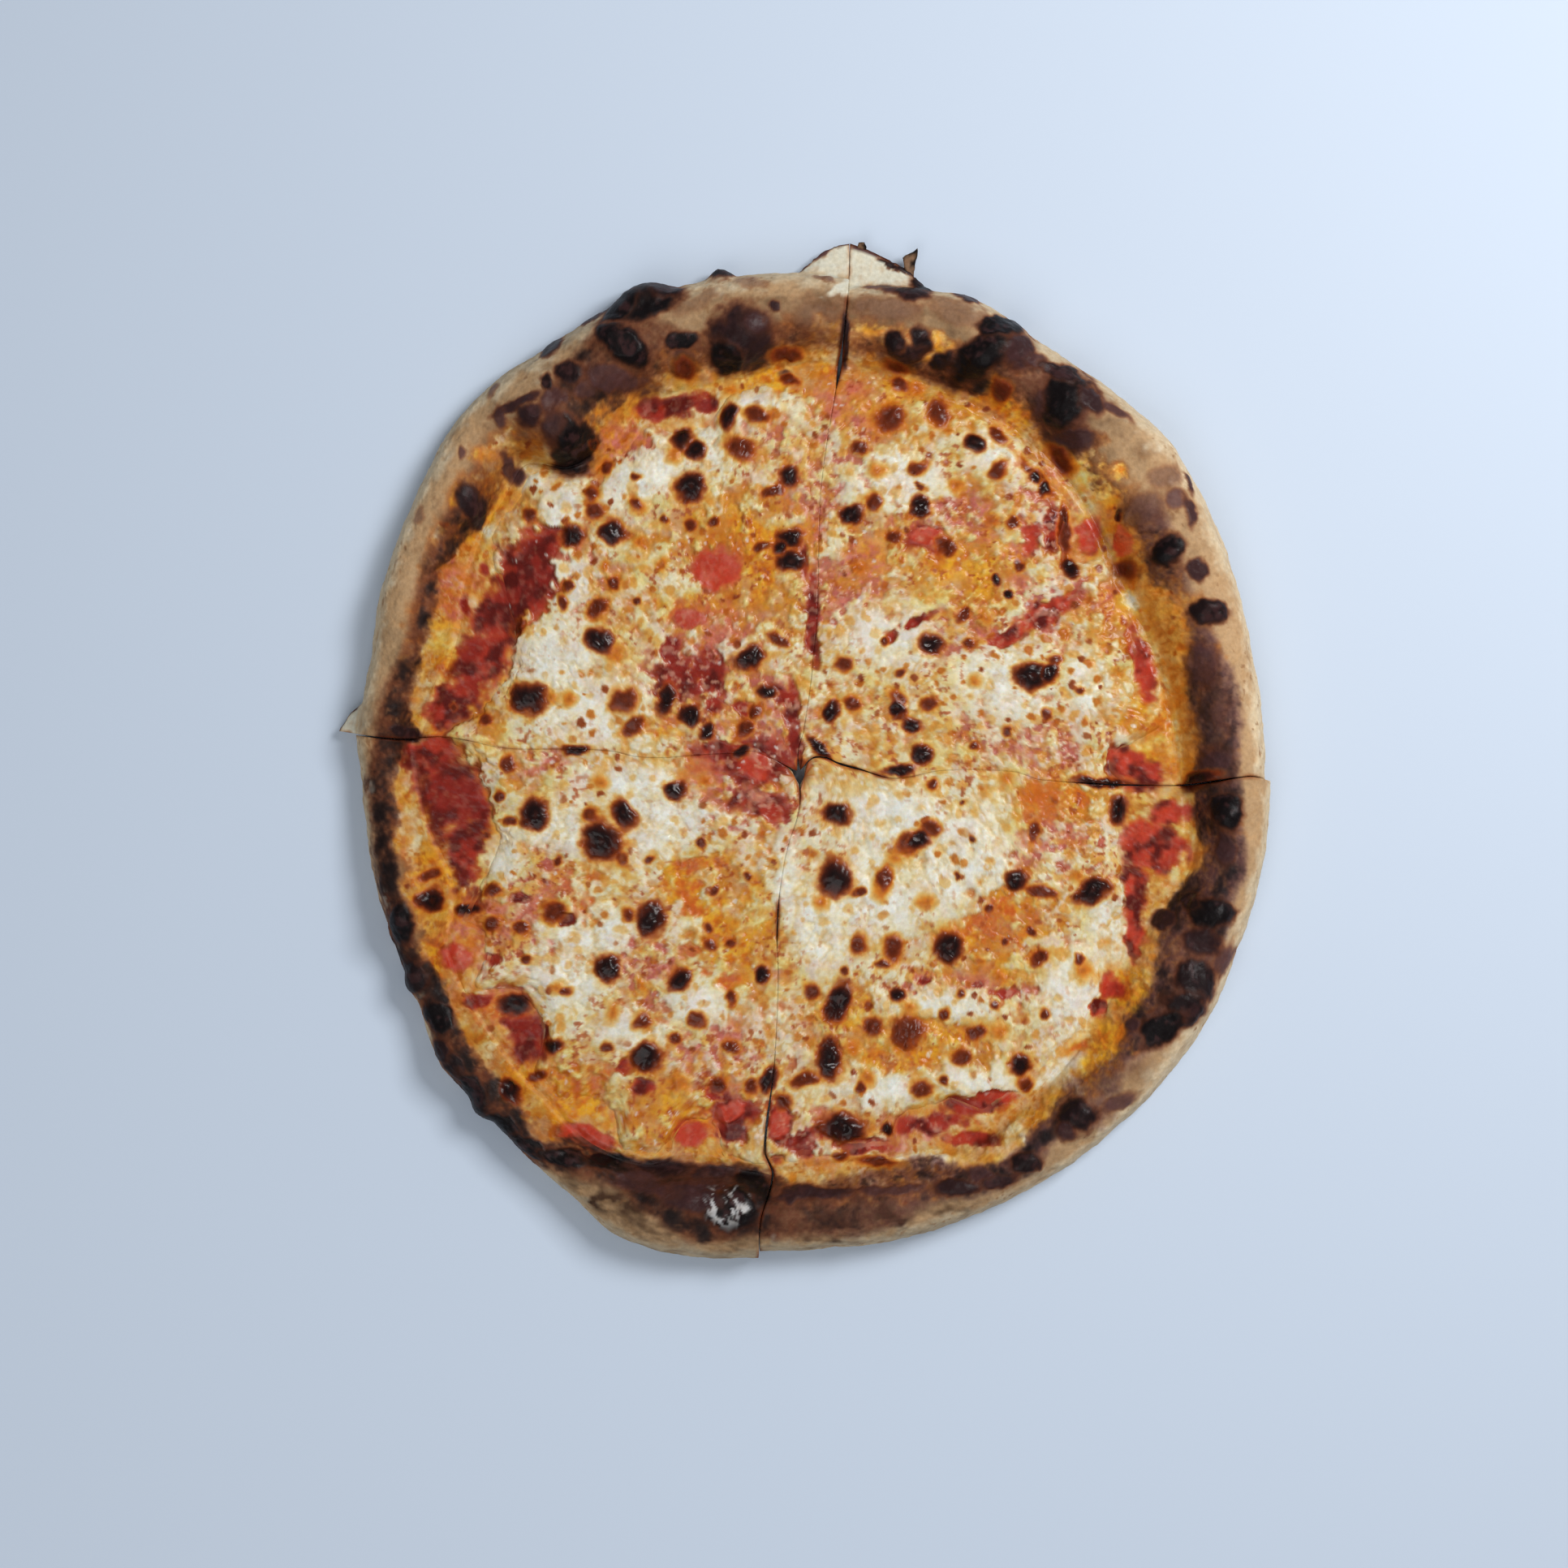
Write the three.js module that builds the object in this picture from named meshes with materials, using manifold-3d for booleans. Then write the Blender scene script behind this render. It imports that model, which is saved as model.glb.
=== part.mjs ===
// A cheese pizza with a thin base and a puffed, charred rim, cut in four. The slices still lie together.
// Millimetres, +Z up. The origin is on the table under the middle of the whole pizza, and +Y is the edge
// with the torn flap. Angles are in degrees about the cut centre, anticlockwise from +X seen from above.
//
// Every slice has three solids: the crust, which is the base with its rim, the tomato sauce that lies on
// it, and the melted cheese on top. Each is a loft: rows of points that run across the slice from one cut
// to the next, laid over the top from the tip outwards and back along the underside.

import * as THREE from "three";
import { mergeVertices } from "three/addons/utils/BufferGeometryUtils.js";
import Module from "manifold-3d";

const wasm = await Module();
wasm.setup();

// ---- Driving dimensions, in millimetres ----

const CUT_CENTRE = new THREE.Vector2(-1.36, -6.76); // where the four slices meet
const TIP_RADIUS = 2.5; // each slice's tip stops this far short of it
const KNIFE_GAP = 0.8; // width of a cut
const CENTRE_GAP = 1.8; // added to it at the cut centre, where the slices have drawn apart
const CENTRE_GAP_REACH = 12;
const LAYER_GAP = 0.3; // between the crust, the sauce and the cheese

const DOUGH_THICKNESS = 3.2; // under the topping
const LAP_HEIGHT = 1.4; // how far the topping climbs the rim
const LAP_START = 0.93; // share of the sauce's radius where that climb starts
const SAUCE_THICKNESS = 1.4;
const SAUCE_EDGE_THICKNESS = 0.5;
const CHEESE_THICKNESS = 2.2;
const CHEESE_INSET = 1.6; // the ring of sauce outside the cheese

const RIM_BASE_HEIGHT = 6; // a rim's height is this plus a share of its width
const RIM_HEIGHT_PER_WIDTH = 0.42;
const RIM_LIFT = 0.05; // share of the height that the rim's lumps add or take
const FLAP_EDGE_HEIGHT = 3.6; // top of the outer edge, under the rim's belly
const HEEL_HEIGHT = 1.5; // the outer edge turns in below this
const HEEL_INSET = 0.8;
const FOOT_INSET = 3; // the flat underside ends this far inside the outer edge

// Lengths of the steps along a row, which set how fine the facets are
const RIM_STEP = 5.6;
const WELL_STEP = 7.6;
const UNDERSIDE_STEP = 22;
const CHEESE_STEP = 5.8;

// ---- Shapes over the distance or angle: pairs that a smooth curve runs through ----

// Cross-section of the rim: share of its width from the topping outwards, share of its height
const RIM_PROFILE = [
  [0, 0],
  [0.15, 0.42],
  [0.3, 0.77],
  [0.44, 0.95],
  [0.56, 1],
  [0.7, 0.97],
  [0.82, 0.85],
  [0.92, 0.62],
  [1, 0.12],
];

// Thickness of the cheese as a share of its full one, by the distance in from its edge
const CHEESE_TAPER = [
  [0, 0.25],
  [1, 0.6],
  [2.5, 0.86],
  [6, 1],
];

// Each cut: its angle by the distance from the cut centre
const CUTS = {
  east: [
    [0, 62], [5, 56], [8, 38], [11, 17], [18, 3.5], [25, -2], [38, 1.7], [58, 0.9],
    [66, -1.2], [103, -1.6], [121, -0.2], [129, -0.7],
  ],
  north: [
    [0, 98], [5, 95], [12, 85], [35, 83.4], [62, 85.2], [80, 85.7], [111, 84.4], [135, 84.3], [146, 84.6],
  ],
  west: [
    [0, 142], [6, 147], [13.7, 152], [20, 163], [34, 171.7], [44, 173.6], [52, 172.8], [79, 174.8],
    [96, 173.8], [110, 174.9], [127, 174.6],
  ],
  south: [
    [0, 270], [5.5, 272], [18, 261.4], [29, 260.2], [44, 262], [55, 263.9], [77, 265], [103, 264.7],
    [109, 266.2], [121, 265], [131, 265.2],
  ],
};

// Each slice: the two cuts that bound it and, by the angle, the radius of its outer edge ("rim"), the
// radius of its sauce, and how far the flap of torn dough reaches beyond the rim. "bare" lists where the
// cheese stops short of the sauce: the middle angle, half the angle that it spans, and the depth.
const SLICES = [
  {
    name: "ne",
    cuts: ["east", "north"],
    rim: [[-2, 127], [15, 128], [30, 132.2], [43, 135.5], [60, 134.7], [70, 138.2], [76, 136.6], [85, 134]],
    sauce: [[-2, 104], [15, 103], [30, 103], [45, 108.5], [60, 112], [85, 113]],
    flap: [[75, 0], [76.5, 2.2], [78.3, 5.7], [81, 8.6], [85, 12.4]],
    bare: [[2, 6, 13], [15, 5, 6], [40, 5, 8]],
  },
  {
    name: "nw",
    cuts: ["north", "west"],
    rim: [
      [84, 136.7], [105, 137.1], [112, 137.3], [120, 135.3], [128, 135.3], [135, 134.2], [142, 130],
      [150, 126.8], [157, 124.4], [165, 121], [175, 121.4],
    ],
    sauce: [
      [84, 112.5], [90, 110.7], [100, 108], [112, 108.5], [120, 104], [127, 105.2], [131, 113], [135, 112],
      [150, 106], [157, 101.4], [165, 101.4], [175, 104.5],
    ],
    flap: [[84, 9.8], [87, 7.2], [89.3, 2.3], [90.5, 0], [170, 0], [172, 2.4], [175, 5.6]],
    bare: [[107, 7, 6.5], [149, 7, 5], [159, 17, 13]],
  },
  {
    name: "sw",
    cuts: ["west", "south"],
    rim: [
      [174, 121.8], [180, 119.3], [195, 119.3], [210, 120.7], [219, 125.8], [225, 125.5], [240, 129.8],
      [248, 134.6], [255, 135.1], [266, 131.8],
    ],
    sauce: [
      [174, 106.3], [187, 103], [195, 99.7], [200, 100.8], [206, 107.4], [217, 109.6], [232, 113],
      [240, 116], [248, 115], [255, 109.6], [266, 109.6],
    ],
    flap: [],
    bare: [[186, 17, 15], [208, 5, 7], [221, 8, 10], [239, 6, 8], [254, 5, 8]],
  },
  {
    name: "se",
    cuts: ["south", "east"],
    turn: 360, // its second cut is a whole turn on
    rim: [[264, 130.7], [270, 129.5], [285, 129.3], [315, 129.3], [330, 129.7], [338, 128.6], [361, 128.5]],
    sauce: [
      [264, 109.6], [277, 107.4], [292, 109.6], [300, 109.6], [315, 106.3], [330, 102.3], [337, 103],
      [345, 108.5], [352, 108.5], [361, 105.2],
    ],
    flap: [],
    bare: [[291, 8, 10], [333, 9, 5], [351, 15, 17]],
  },
];

// Distances from the cut centre of the rows in the field of a slice. The faces where two layers meet
// share the coarse ones, and neighbouring slices share them all, so that nothing crosses.
const INNER_RADII = [4.2, 6.5, 9, 12, 15, 19, 24];
const COARSE_RADII = [...INNER_RADII, 32, 46, 64, 80];
const FINE_RADII = [...INNER_RADII, 30, 37, 44, 51, 58, 65, 72, 80];

// Shares of the way from the last of those to the cheese's edge, and from that edge to the sauce's
const CHEESE_OUTER_SHARES = [0.25, 0.5, 0.75];
const SAUCE_EDGE_SHARES = [0, 0.5, 0.96];
const CHEESE_LIP = 1; // the last row before the edge is this far in

// Low waves in a surface: length, direction in degrees, phase in degrees and height
const DOUGH_WAVES = [[64, 15, 40, 0.18], [47, 100, 200, 0.15]];
const CHEESE_WAVES = [[33, 20, 0, 0.32], [24, 95, 130, 0.3], [17, 150, 60, 0.26], [12.5, 55, 200, 0.2]];
const RIM_LUMPS = [[5, 20, 0.5], [9, 130, 0.6], [14, 250, 0.55], [23, 80, 0.5]]; // number round, phase, share

// Blisters of the cheese and of the rim that stand up: place from the cut centre, half length, half
// width, direction of the length in degrees
const CHEESE_BLISTERS = [
  [-30.1, 89.8, 4.4, 3, 140], [-29.5, 78.4, 3.8, 3.8, 0], [-4.4, 79.9, 5, 2.8, 35],
  [-50.7, 65.9, 3.4, 3.2, 0], [-61.2, 65.6, 3.8, 2.8, 10], [-54.5, 36.8, 4, 3.5, 0],
  [-74.3, 20.6, 4.8, 4.4, 0], [-48.2, 21.4, 3.8, 3.6, 0], [-14, 31.7, 4.5, 3.5, 35],
  [-3.6, 60.9, 6.2, 4.4, 95], [-36.2, 21.4, 4.4, 3.2, 100], [-16.1, 88.4, 4.2, 3.2, 60],
  [25.4, 97, 4.3, 3.5, 70], [38.1, 97.9, 4.4, 3.6, 100], [47.3, 90.1, 3, 2.8, 0],
  [32.6, 72.8, 3, 3, 0], [13.6, 71.1, 4.4, 3, 30], [40.7, 62.2, 3.2, 3, 0], [35.5, 35.4, 3.4, 3.4, 0],
  [64.9, 26.6, 5.6, 4, 15], [29.4, 16.5, 6, 3.8, 130], [32.8, 5.5, 3.5, 3.4, 0],
  [-71, -9.5, 4.4, 3.4, 110], [-47.8, -10.8, 4.8, 3.4, 125], [-52.5, -19.4, 6.4, 5.2, 135],
  [-33.9, -3.5, 4, 3, 20], [-40.5, -39.2, 4.8, 4.6, 0], [-51.6, -52.3, 4.2, 3.4, 110],
  [-33, -56, 3.5, 3.3, 0], [-78, -62, 4.6, 2.9, 20], [-41, -76.4, 3.9, 3.8, 0],
  [-66.5, -37.4, 3.2, 3, 0], [10.7, -10.6, 3.7, 3.5, 0], [9.8, -27.7, 4.6, 4.4, 80],
  [31.9, -18.7, 5, 3.4, 40], [58.7, -29.1, 3.4, 2.9, 0], [80.4, -31, 4.6, 3.8, 20],
  [40.5, -46.3, 4, 3.8, 0], [11.2, -62.1, 5.8, 3.8, 70], [28.8, -70.2, 4.6, 4, 20],
  [8, -77.5, 6.2, 3.8, 80], [11.7, -96.5, 6.2, 4.4, 10], [59.1, -78, 3, 2.8, 0],
  [26.6, -59.8, 2.9, 2.7, 0],
];
const RIM_BLISTERS = [
  [-16.2, 117.4, 8.6, 8, 60], [-47, 116.3, 8, 4.8, 140], [-63.4, 91.5, 9.5, 7.5, 125],
  [-73, 98, 6.4, 4.4, 30], [-89.3, 72.6, 6.4, 4.6, 65], [28.8, 117.4, 5.4, 4.4, 0],
  [52, 114, 10.5, 6.4, 35], [73.7, 101.2, 8.6, 7.4, 120], [92, 69.8, 7.6, 6, 120],
  [99.7, 59.8, 5.6, 3.8, 35], [110.7, 43.9, 5.2, 3.8, 0], [-43.2, 127.8, 6, 4.2, 20],
  [-22.1, 134.8, 3.8, 3.2, 10], [-17.7, -118.5, 8.5, 6, 170], [-58, -109.5, 8, 4.4, 150],
  [-99.5, -37.4, 3.8, 3.6, 0], [74.6, -92.6, 6.2, 5.2, 70], [109, -39, 8, 6, 80], [101, -62, 8, 6, 60],
  [115.2, -11.5, 5.2, 4.6, 90],
];
const BLISTER_SINK = 0.25; // share of its height that a blister's middle lies below the surface
const BLISTER_SPARE = 0.9; // share of its half length that a blister keeps clear of its layer's edge
const BLISTER_ROOT = 0.4; // it goes this far down below its middle
const BLISTER_BANDS = 5;

// ---- Curves and waves ----

// Smooth curve through [x, y] pairs, flat beyond the ends
function through(pairs, x) {
  const last = pairs.length - 1;
  if (x <= pairs[0][0]) return pairs[0][1];
  if (x >= pairs[last][0]) return pairs[last][1];
  const i = pairs.findIndex((pair) => pair[0] >= x) - 1;
  const slope = (k) => {
    const [before, after] = [pairs[Math.max(k - 1, 0)], pairs[Math.min(k + 1, last)]];
    return (after[1] - before[1]) / (after[0] - before[0]);
  };
  const width = pairs[i + 1][0] - pairs[i][0];
  const u = (x - pairs[i][0]) / width;
  const rise = u * u * (3 - 2 * u);
  const bend = width * u * (1 - u) * (slope(i) * (1 - u) - slope(i + 1) * u);
  return THREE.MathUtils.lerp(pairs[i][1], pairs[i + 1][1], rise) + bend;
}

function wavesAt(waves, x, y) {
  return waves.reduce((sum, [length, direction, phase, height]) => {
    const [d, p] = [THREE.MathUtils.degToRad(direction), THREE.MathUtils.degToRad(phase)];
    return sum + height * Math.sin((2 * Math.PI * (x * Math.cos(d) + y * Math.sin(d))) / length + p);
  }, 0);
}

function lumpsAt(angle) {
  return RIM_LUMPS.reduce(
    (sum, [number, phase, share]) => sum + share * Math.sin(THREE.MathUtils.degToRad(number * angle + phase)),
    0,
  );
}

// ---- Plan of a slice: radii by the angle, in degrees ----

const rimRadius = (slice, angle) => through(slice.rim, angle);
const sauceRadius = (slice, angle) => through(slice.sauce, angle);
const flapReach = (slice, angle) => (slice.flap.length ? through(slice.flap, angle) : 0);
const edgeRadius = (slice, angle) => rimRadius(slice, angle) + flapReach(slice, angle);

function cheeseRadius(slice, angle) {
  const short = slice.bare.map(([middle, half, depth]) => {
    const away = Math.min(Math.abs(angle - middle) / half, 1);
    return depth * (1 - away ** 3) ** 2;
  });
  return sauceRadius(slice, angle) - CHEESE_INSET - Math.max(...short);
}

// Angle at a share of the way from a slice's first cut to its second, at a distance from the cut centre
function angleAcross(slice, share, radius) {
  const gap = KNIFE_GAP + CENTRE_GAP * Math.exp(-radius / CENTRE_GAP_REACH);
  const halfGap = THREE.MathUtils.radToDeg(gap / 2 / radius);
  const first = through(CUTS[slice.cuts[0]], radius) + halfGap;
  const second = through(CUTS[slice.cuts[1]], radius) + (slice.turn ?? 0) - halfGap;
  return THREE.MathUtils.lerp(first, second, share);
}

// ---- Heights of the layers' faces, at a distance from the cut centre ----

function place(angle, radius) {
  const a = THREE.MathUtils.degToRad(angle);
  return new THREE.Vector2(Math.cos(a), Math.sin(a)).multiplyScalar(radius).add(CUT_CENTRE);
}

function doughTop(slice, angle, radius) {
  const { x, y } = place(angle, radius);
  const share = radius / sauceRadius(slice, angle);
  const climb = THREE.MathUtils.clamp((share - LAP_START) / (1 - LAP_START), 0, 1);
  return DOUGH_THICKNESS + wavesAt(DOUGH_WAVES, x, y) * (1 - climb) + LAP_HEIGHT * climb;
}

function rimTop(slice, angle, radius) {
  const [inner, outer] = [sauceRadius(slice, angle), rimRadius(slice, angle)];
  const height = (RIM_BASE_HEIGHT + RIM_HEIGHT_PER_WIDTH * (outer - inner)) * (1 + RIM_LIFT * lumpsAt(angle));
  const foot = DOUGH_THICKNESS + LAP_HEIGHT;
  return foot + (height - foot) * through(RIM_PROFILE, (radius - inner) / (outer - inner));
}

function sauceTop(slice, angle, radius) {
  const share = radius / sauceRadius(slice, angle);
  const thin = THREE.MathUtils.clamp((share - LAP_START) / (1 - LAP_START), 0, 1);
  const thickness = THREE.MathUtils.lerp(SAUCE_THICKNESS, SAUCE_EDGE_THICKNESS, thin);
  return doughTop(slice, angle, radius) + LAYER_GAP + thickness;
}

function cheeseTop(slice, angle, radius) {
  const { x, y } = place(angle, radius);
  const taper = through(CHEESE_TAPER, cheeseRadius(slice, angle) - radius);
  return (
    sauceTop(slice, angle, radius) + LAYER_GAP + taper * (CHEESE_THICKNESS + wavesAt(CHEESE_WAVES, x, y))
  );
}

// ---- Blisters' shapes: flatness is the height as a share of the half width ----

const CHEESE_BLISTER = {
  surfaceAt: cheeseTop,
  flatness: 0.42,
  reach: (slice, angle) => [0, cheeseRadius(slice, angle)],
  sides: 7,
};
const RIM_BLISTER = {
  surfaceAt: rimTop,
  flatness: 0.5,
  reach: (slice, angle) => [sauceRadius(slice, angle) + LAYER_GAP, Infinity],
  sides: 9,
};

// ---- Lofting ----

const OUTER_RADIUS = 100; // where the search for a point's angle starts
const SETTLING_ROUNDS = 4;
const MERGE_TOLERANCE = 1e-4;

// A point of a row: share of the way across the slice. The radius depends on the angle and the cuts'
// angles on the radius, so both are found together.
function pointAcross(slice, share, radiusAt, heightAt) {
  let angle = angleAcross(slice, share, OUTER_RADIUS);
  for (let round = 0; round < SETTLING_ROUNDS; round++) angle = angleAcross(slice, share, radiusAt(angle));
  const radius = radiusAt(angle);
  const { x, y } = place(angleAcross(slice, share, radius), radius);
  return { position: new THREE.Vector3(x, y, heightAt(angle, radius)), share, radius };
}

// A row of points across the slice, one step apart. Its radius is a number or a function of the angle.
function rowAcross(slice, step, radius, heightAt) {
  const radiusAt = typeof radius === "number" ? () => radius : radius;
  const middle = radiusAt(angleAcross(slice, 0.5, OUTER_RADIUS));
  const span = angleAcross(slice, 1, middle) - angleAcross(slice, 0, middle);
  const count = Math.max(2, Math.round((THREE.MathUtils.degToRad(span) * middle) / step));
  return Array.from({ length: count + 1 }, (_, i) => pointAcross(slice, i / count, radiusAt, heightAt));
}

const tip = (slice, heightAt) => [pointAcross(slice, 0.5, () => TIP_RADIUS, heightAt)];

// The strip of triangles between two chains of points, which go forward together by the key. Where both
// could go forward, the one nearer the cut centre does.
function stripBetween(near, far, key, triangles) {
  let [i, j] = [0, 0];
  const inner = near[0].radius < far[0].radius;
  while (i < near.length - 1 || j < far.length - 1) {
    const nextNear = i < near.length - 1 ? near[i + 1][key] : Infinity;
    const nextFar = j < far.length - 1 ? far[j + 1][key] : Infinity;
    const forward = nextNear < nextFar || (nextNear === nextFar && inner);
    if (forward) triangles.push(near[i].index, far[j].index, near[++i].index);
    else triangles.push(near[i].index, far[j].index, far[++j].index);
  }
}

// The face where the knife went through. The rows' first or last points make its outline: over the top
// to the outermost one, and back underneath.
function cutFace(outline, first, triangles) {
  const outermost = outline.reduce((best, p, k) => (p.radius > outline[best].radius ? k : best), 0);
  const over = outline.slice(0, outermost + 1);
  const under = outline.slice(outermost).reverse();
  if (first) stripBetween(over, under, "radius", triangles);
  else stripBetween(under, over, "radius", triangles);
}

// A closed geometry from rows that run over the top from the tip outwards and back underneath
function loft(rows) {
  const points = rows.flat();
  points.forEach((p, index) => (p.index = index));
  const triangles = [];
  rows.slice(1).forEach((row, k) => stripBetween(rows[k], row, "share", triangles));
  cutFace(rows.map((row) => row[0]), true, triangles);
  cutFace(rows.map((row) => row.at(-1)), false, triangles);
  return new THREE.BufferGeometry().setFromPoints(points.map((p) => p.position)).setIndex(triangles);
}

// ---- Blisters, fused to the solid that they stand on ----

function manifoldOf(geometry) {
  const bare = geometry.clone();
  bare.deleteAttribute("normal");
  bare.deleteAttribute("uv");
  const merged = mergeVertices(bare, MERGE_TOLERANCE);
  return new wasm.Manifold(
    new wasm.Mesh({
      numProp: 3,
      vertProperties: merged.getAttribute("position").array,
      triVerts: new Uint32Array(merged.index.array),
    }),
  );
}

function geometryOf(solid) {
  const { vertProperties, triVerts } = solid.getMesh();
  return new THREE.BufferGeometry()
    .setAttribute("position", new THREE.BufferAttribute(vertProperties, 3))
    .setIndex(new THREE.BufferAttribute(triVerts, 1));
}

// True if a blister lies in the slice, and between two radii, with room to spare
function within(slice, angle, radius, spare, innermost, outermost) {
  const turned = THREE.MathUtils.radToDeg(spare / radius);
  return (
    angle > angleAcross(slice, 0, radius) + turned &&
    angle < angleAcross(slice, 1, radius) - turned &&
    radius > innermost + spare &&
    radius < outermost - spare
  );
}

// The blister as a squashed ball with a flat underside, or nothing if it belongs to another slice
function blisterOn(slice, [x, y, halfLength, halfWidth, direction], { surfaceAt, flatness, reach, sides }) {
  const radius = Math.hypot(x, y);
  const start = angleAcross(slice, 0, radius);
  const bearing = THREE.MathUtils.radToDeg(Math.atan2(y, x));
  const angle = start + THREE.MathUtils.euclideanModulo(bearing - start, 360);
  if (!within(slice, angle, radius, halfLength * BLISTER_SPARE, ...reach(slice, angle))) return null;
  const height = flatness * halfWidth;
  const ball = new THREE.SphereGeometry(1, sides, BLISTER_BANDS)
    .rotateX(Math.PI / 2)
    .scale(halfLength, halfWidth, height)
    .rotateZ(THREE.MathUtils.degToRad(direction));
  const places = ball.getAttribute("position");
  for (let k = 0; k < places.count; k++) places.setZ(k, Math.max(places.getZ(k), -BLISTER_ROOT));
  const middle = surfaceAt(slice, angle, radius) - BLISTER_SINK * height;
  return ball.translate(x + CUT_CENTRE.x, y + CUT_CENTRE.y, middle);
}

function withBlisters(slice, geometry, blisters, shape) {
  const balls = blisters.map((blister) => blisterOn(slice, blister, shape)).filter(Boolean);
  return geometryOf(balls.reduce((solid, ball) => solid.add(manifoldOf(ball)), manifoldOf(geometry)));
}

// ---- The three solids of a slice ----

function crustOf(slice) {
  const top = (angle, radius) => doughTop(slice, angle, radius);
  const sauceShare = (share) => (angle) => share * sauceRadius(slice, angle);
  const rimShare = (share) => (angle) =>
    THREE.MathUtils.lerp(sauceRadius(slice, angle), rimRadius(slice, angle), share);
  const edge = (inset) => (angle) => edgeRadius(slice, angle) - inset;
  const rim = (angle, radius) => rimTop(slice, angle, radius);
  const row = (step, radius, heightAt) => rowAcross(slice, step, radius, heightAt);
  const geometry = loft([
    tip(slice, top),
    ...COARSE_RADII.map((radius) => row(WELL_STEP, radius, top)),
    row(WELL_STEP, sauceShare(LAP_START), top),
    row(WELL_STEP, sauceShare(1), top),
    ...RIM_PROFILE.slice(1).map(([share]) => row(RIM_STEP, rimShare(share), rim)),
    row(RIM_STEP, edge(0), () => FLAP_EDGE_HEIGHT),
    row(RIM_STEP, edge(HEEL_INSET), () => HEEL_HEIGHT),
    row(RIM_STEP, edge(FOOT_INSET), () => 0),
    row(UNDERSIDE_STEP, sauceShare(1), () => 0),
    row(UNDERSIDE_STEP, sauceShare(LAP_START), () => 0),
    ...COARSE_RADII.toReversed().map((radius) => row(UNDERSIDE_STEP, radius, () => 0)),
    tip(slice, () => 0),
  ]);
  return withBlisters(slice, geometry, RIM_BLISTERS, RIM_BLISTER);
}

function sauceOf(slice) {
  const top = (angle, radius) => sauceTop(slice, angle, radius);
  const bottom = (angle, radius) => doughTop(slice, angle, radius) + LAYER_GAP;
  const outside = (share) => (angle) =>
    THREE.MathUtils.lerp(cheeseRadius(slice, angle), sauceRadius(slice, angle), share);
  const whole = (share) => (angle) => share * sauceRadius(slice, angle);
  const row = (radius, heightAt) => rowAcross(slice, WELL_STEP, radius, heightAt);
  return loft([
    tip(slice, top),
    ...COARSE_RADII.map((radius) => row(radius, top)),
    ...SAUCE_EDGE_SHARES.map((share) => row(outside(share), top)),
    row(whole(1), bottom),
    row(whole(LAP_START), bottom),
    ...COARSE_RADII.toReversed().map((radius) => row(radius, bottom)),
    tip(slice, bottom),
  ]);
}

function cheeseOf(slice) {
  const top = (angle, radius) => cheeseTop(slice, angle, radius);
  const bottom = (angle, radius) => sauceTop(slice, angle, radius) + LAYER_GAP;
  const outerShare = (share) => (angle) =>
    THREE.MathUtils.lerp(FINE_RADII.at(-1), cheeseRadius(slice, angle), share);
  const inset = (distance) => (angle) => cheeseRadius(slice, angle) - distance;
  const row = (step, radius, heightAt) => rowAcross(slice, step, radius, heightAt);
  const geometry = loft([
    tip(slice, top),
    ...FINE_RADII.map((radius) => row(CHEESE_STEP, radius, top)),
    ...CHEESE_OUTER_SHARES.map((share) => row(CHEESE_STEP, outerShare(share), top)),
    row(CHEESE_STEP, inset(CHEESE_LIP), top),
    row(CHEESE_STEP, inset(0), top),
    row(WELL_STEP, inset(0), bottom),
    ...COARSE_RADII.toReversed().map((radius) => row(WELL_STEP, radius, bottom)),
    tip(slice, bottom),
  ]);
  return withBlisters(slice, geometry, CHEESE_BLISTERS, CHEESE_BLISTER);
}

// ---- The whole pizza ----

const LAYERS = [
  ["crust", crustOf, { color: 0xb98a5a, roughness: 0.8, metalness: 0 }],
  ["sauce", sauceOf, { color: 0xa8301c, roughness: 0.35, metalness: 0 }],
  ["cheese", cheeseOf, { color: 0xe6cf9a, roughness: 0.4, metalness: 0 }],
];

const pizza = new THREE.Group();
for (const [layer, shapeOf, finish] of LAYERS) {
  for (const slice of SLICES) {
    const mesh = new THREE.Mesh(shapeOf(slice), new THREE.MeshStandardMaterial(finish));
    mesh.name = `${layer}_${slice.name}`;
    pizza.add(mesh);
  }
}

export default pizza;
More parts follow.
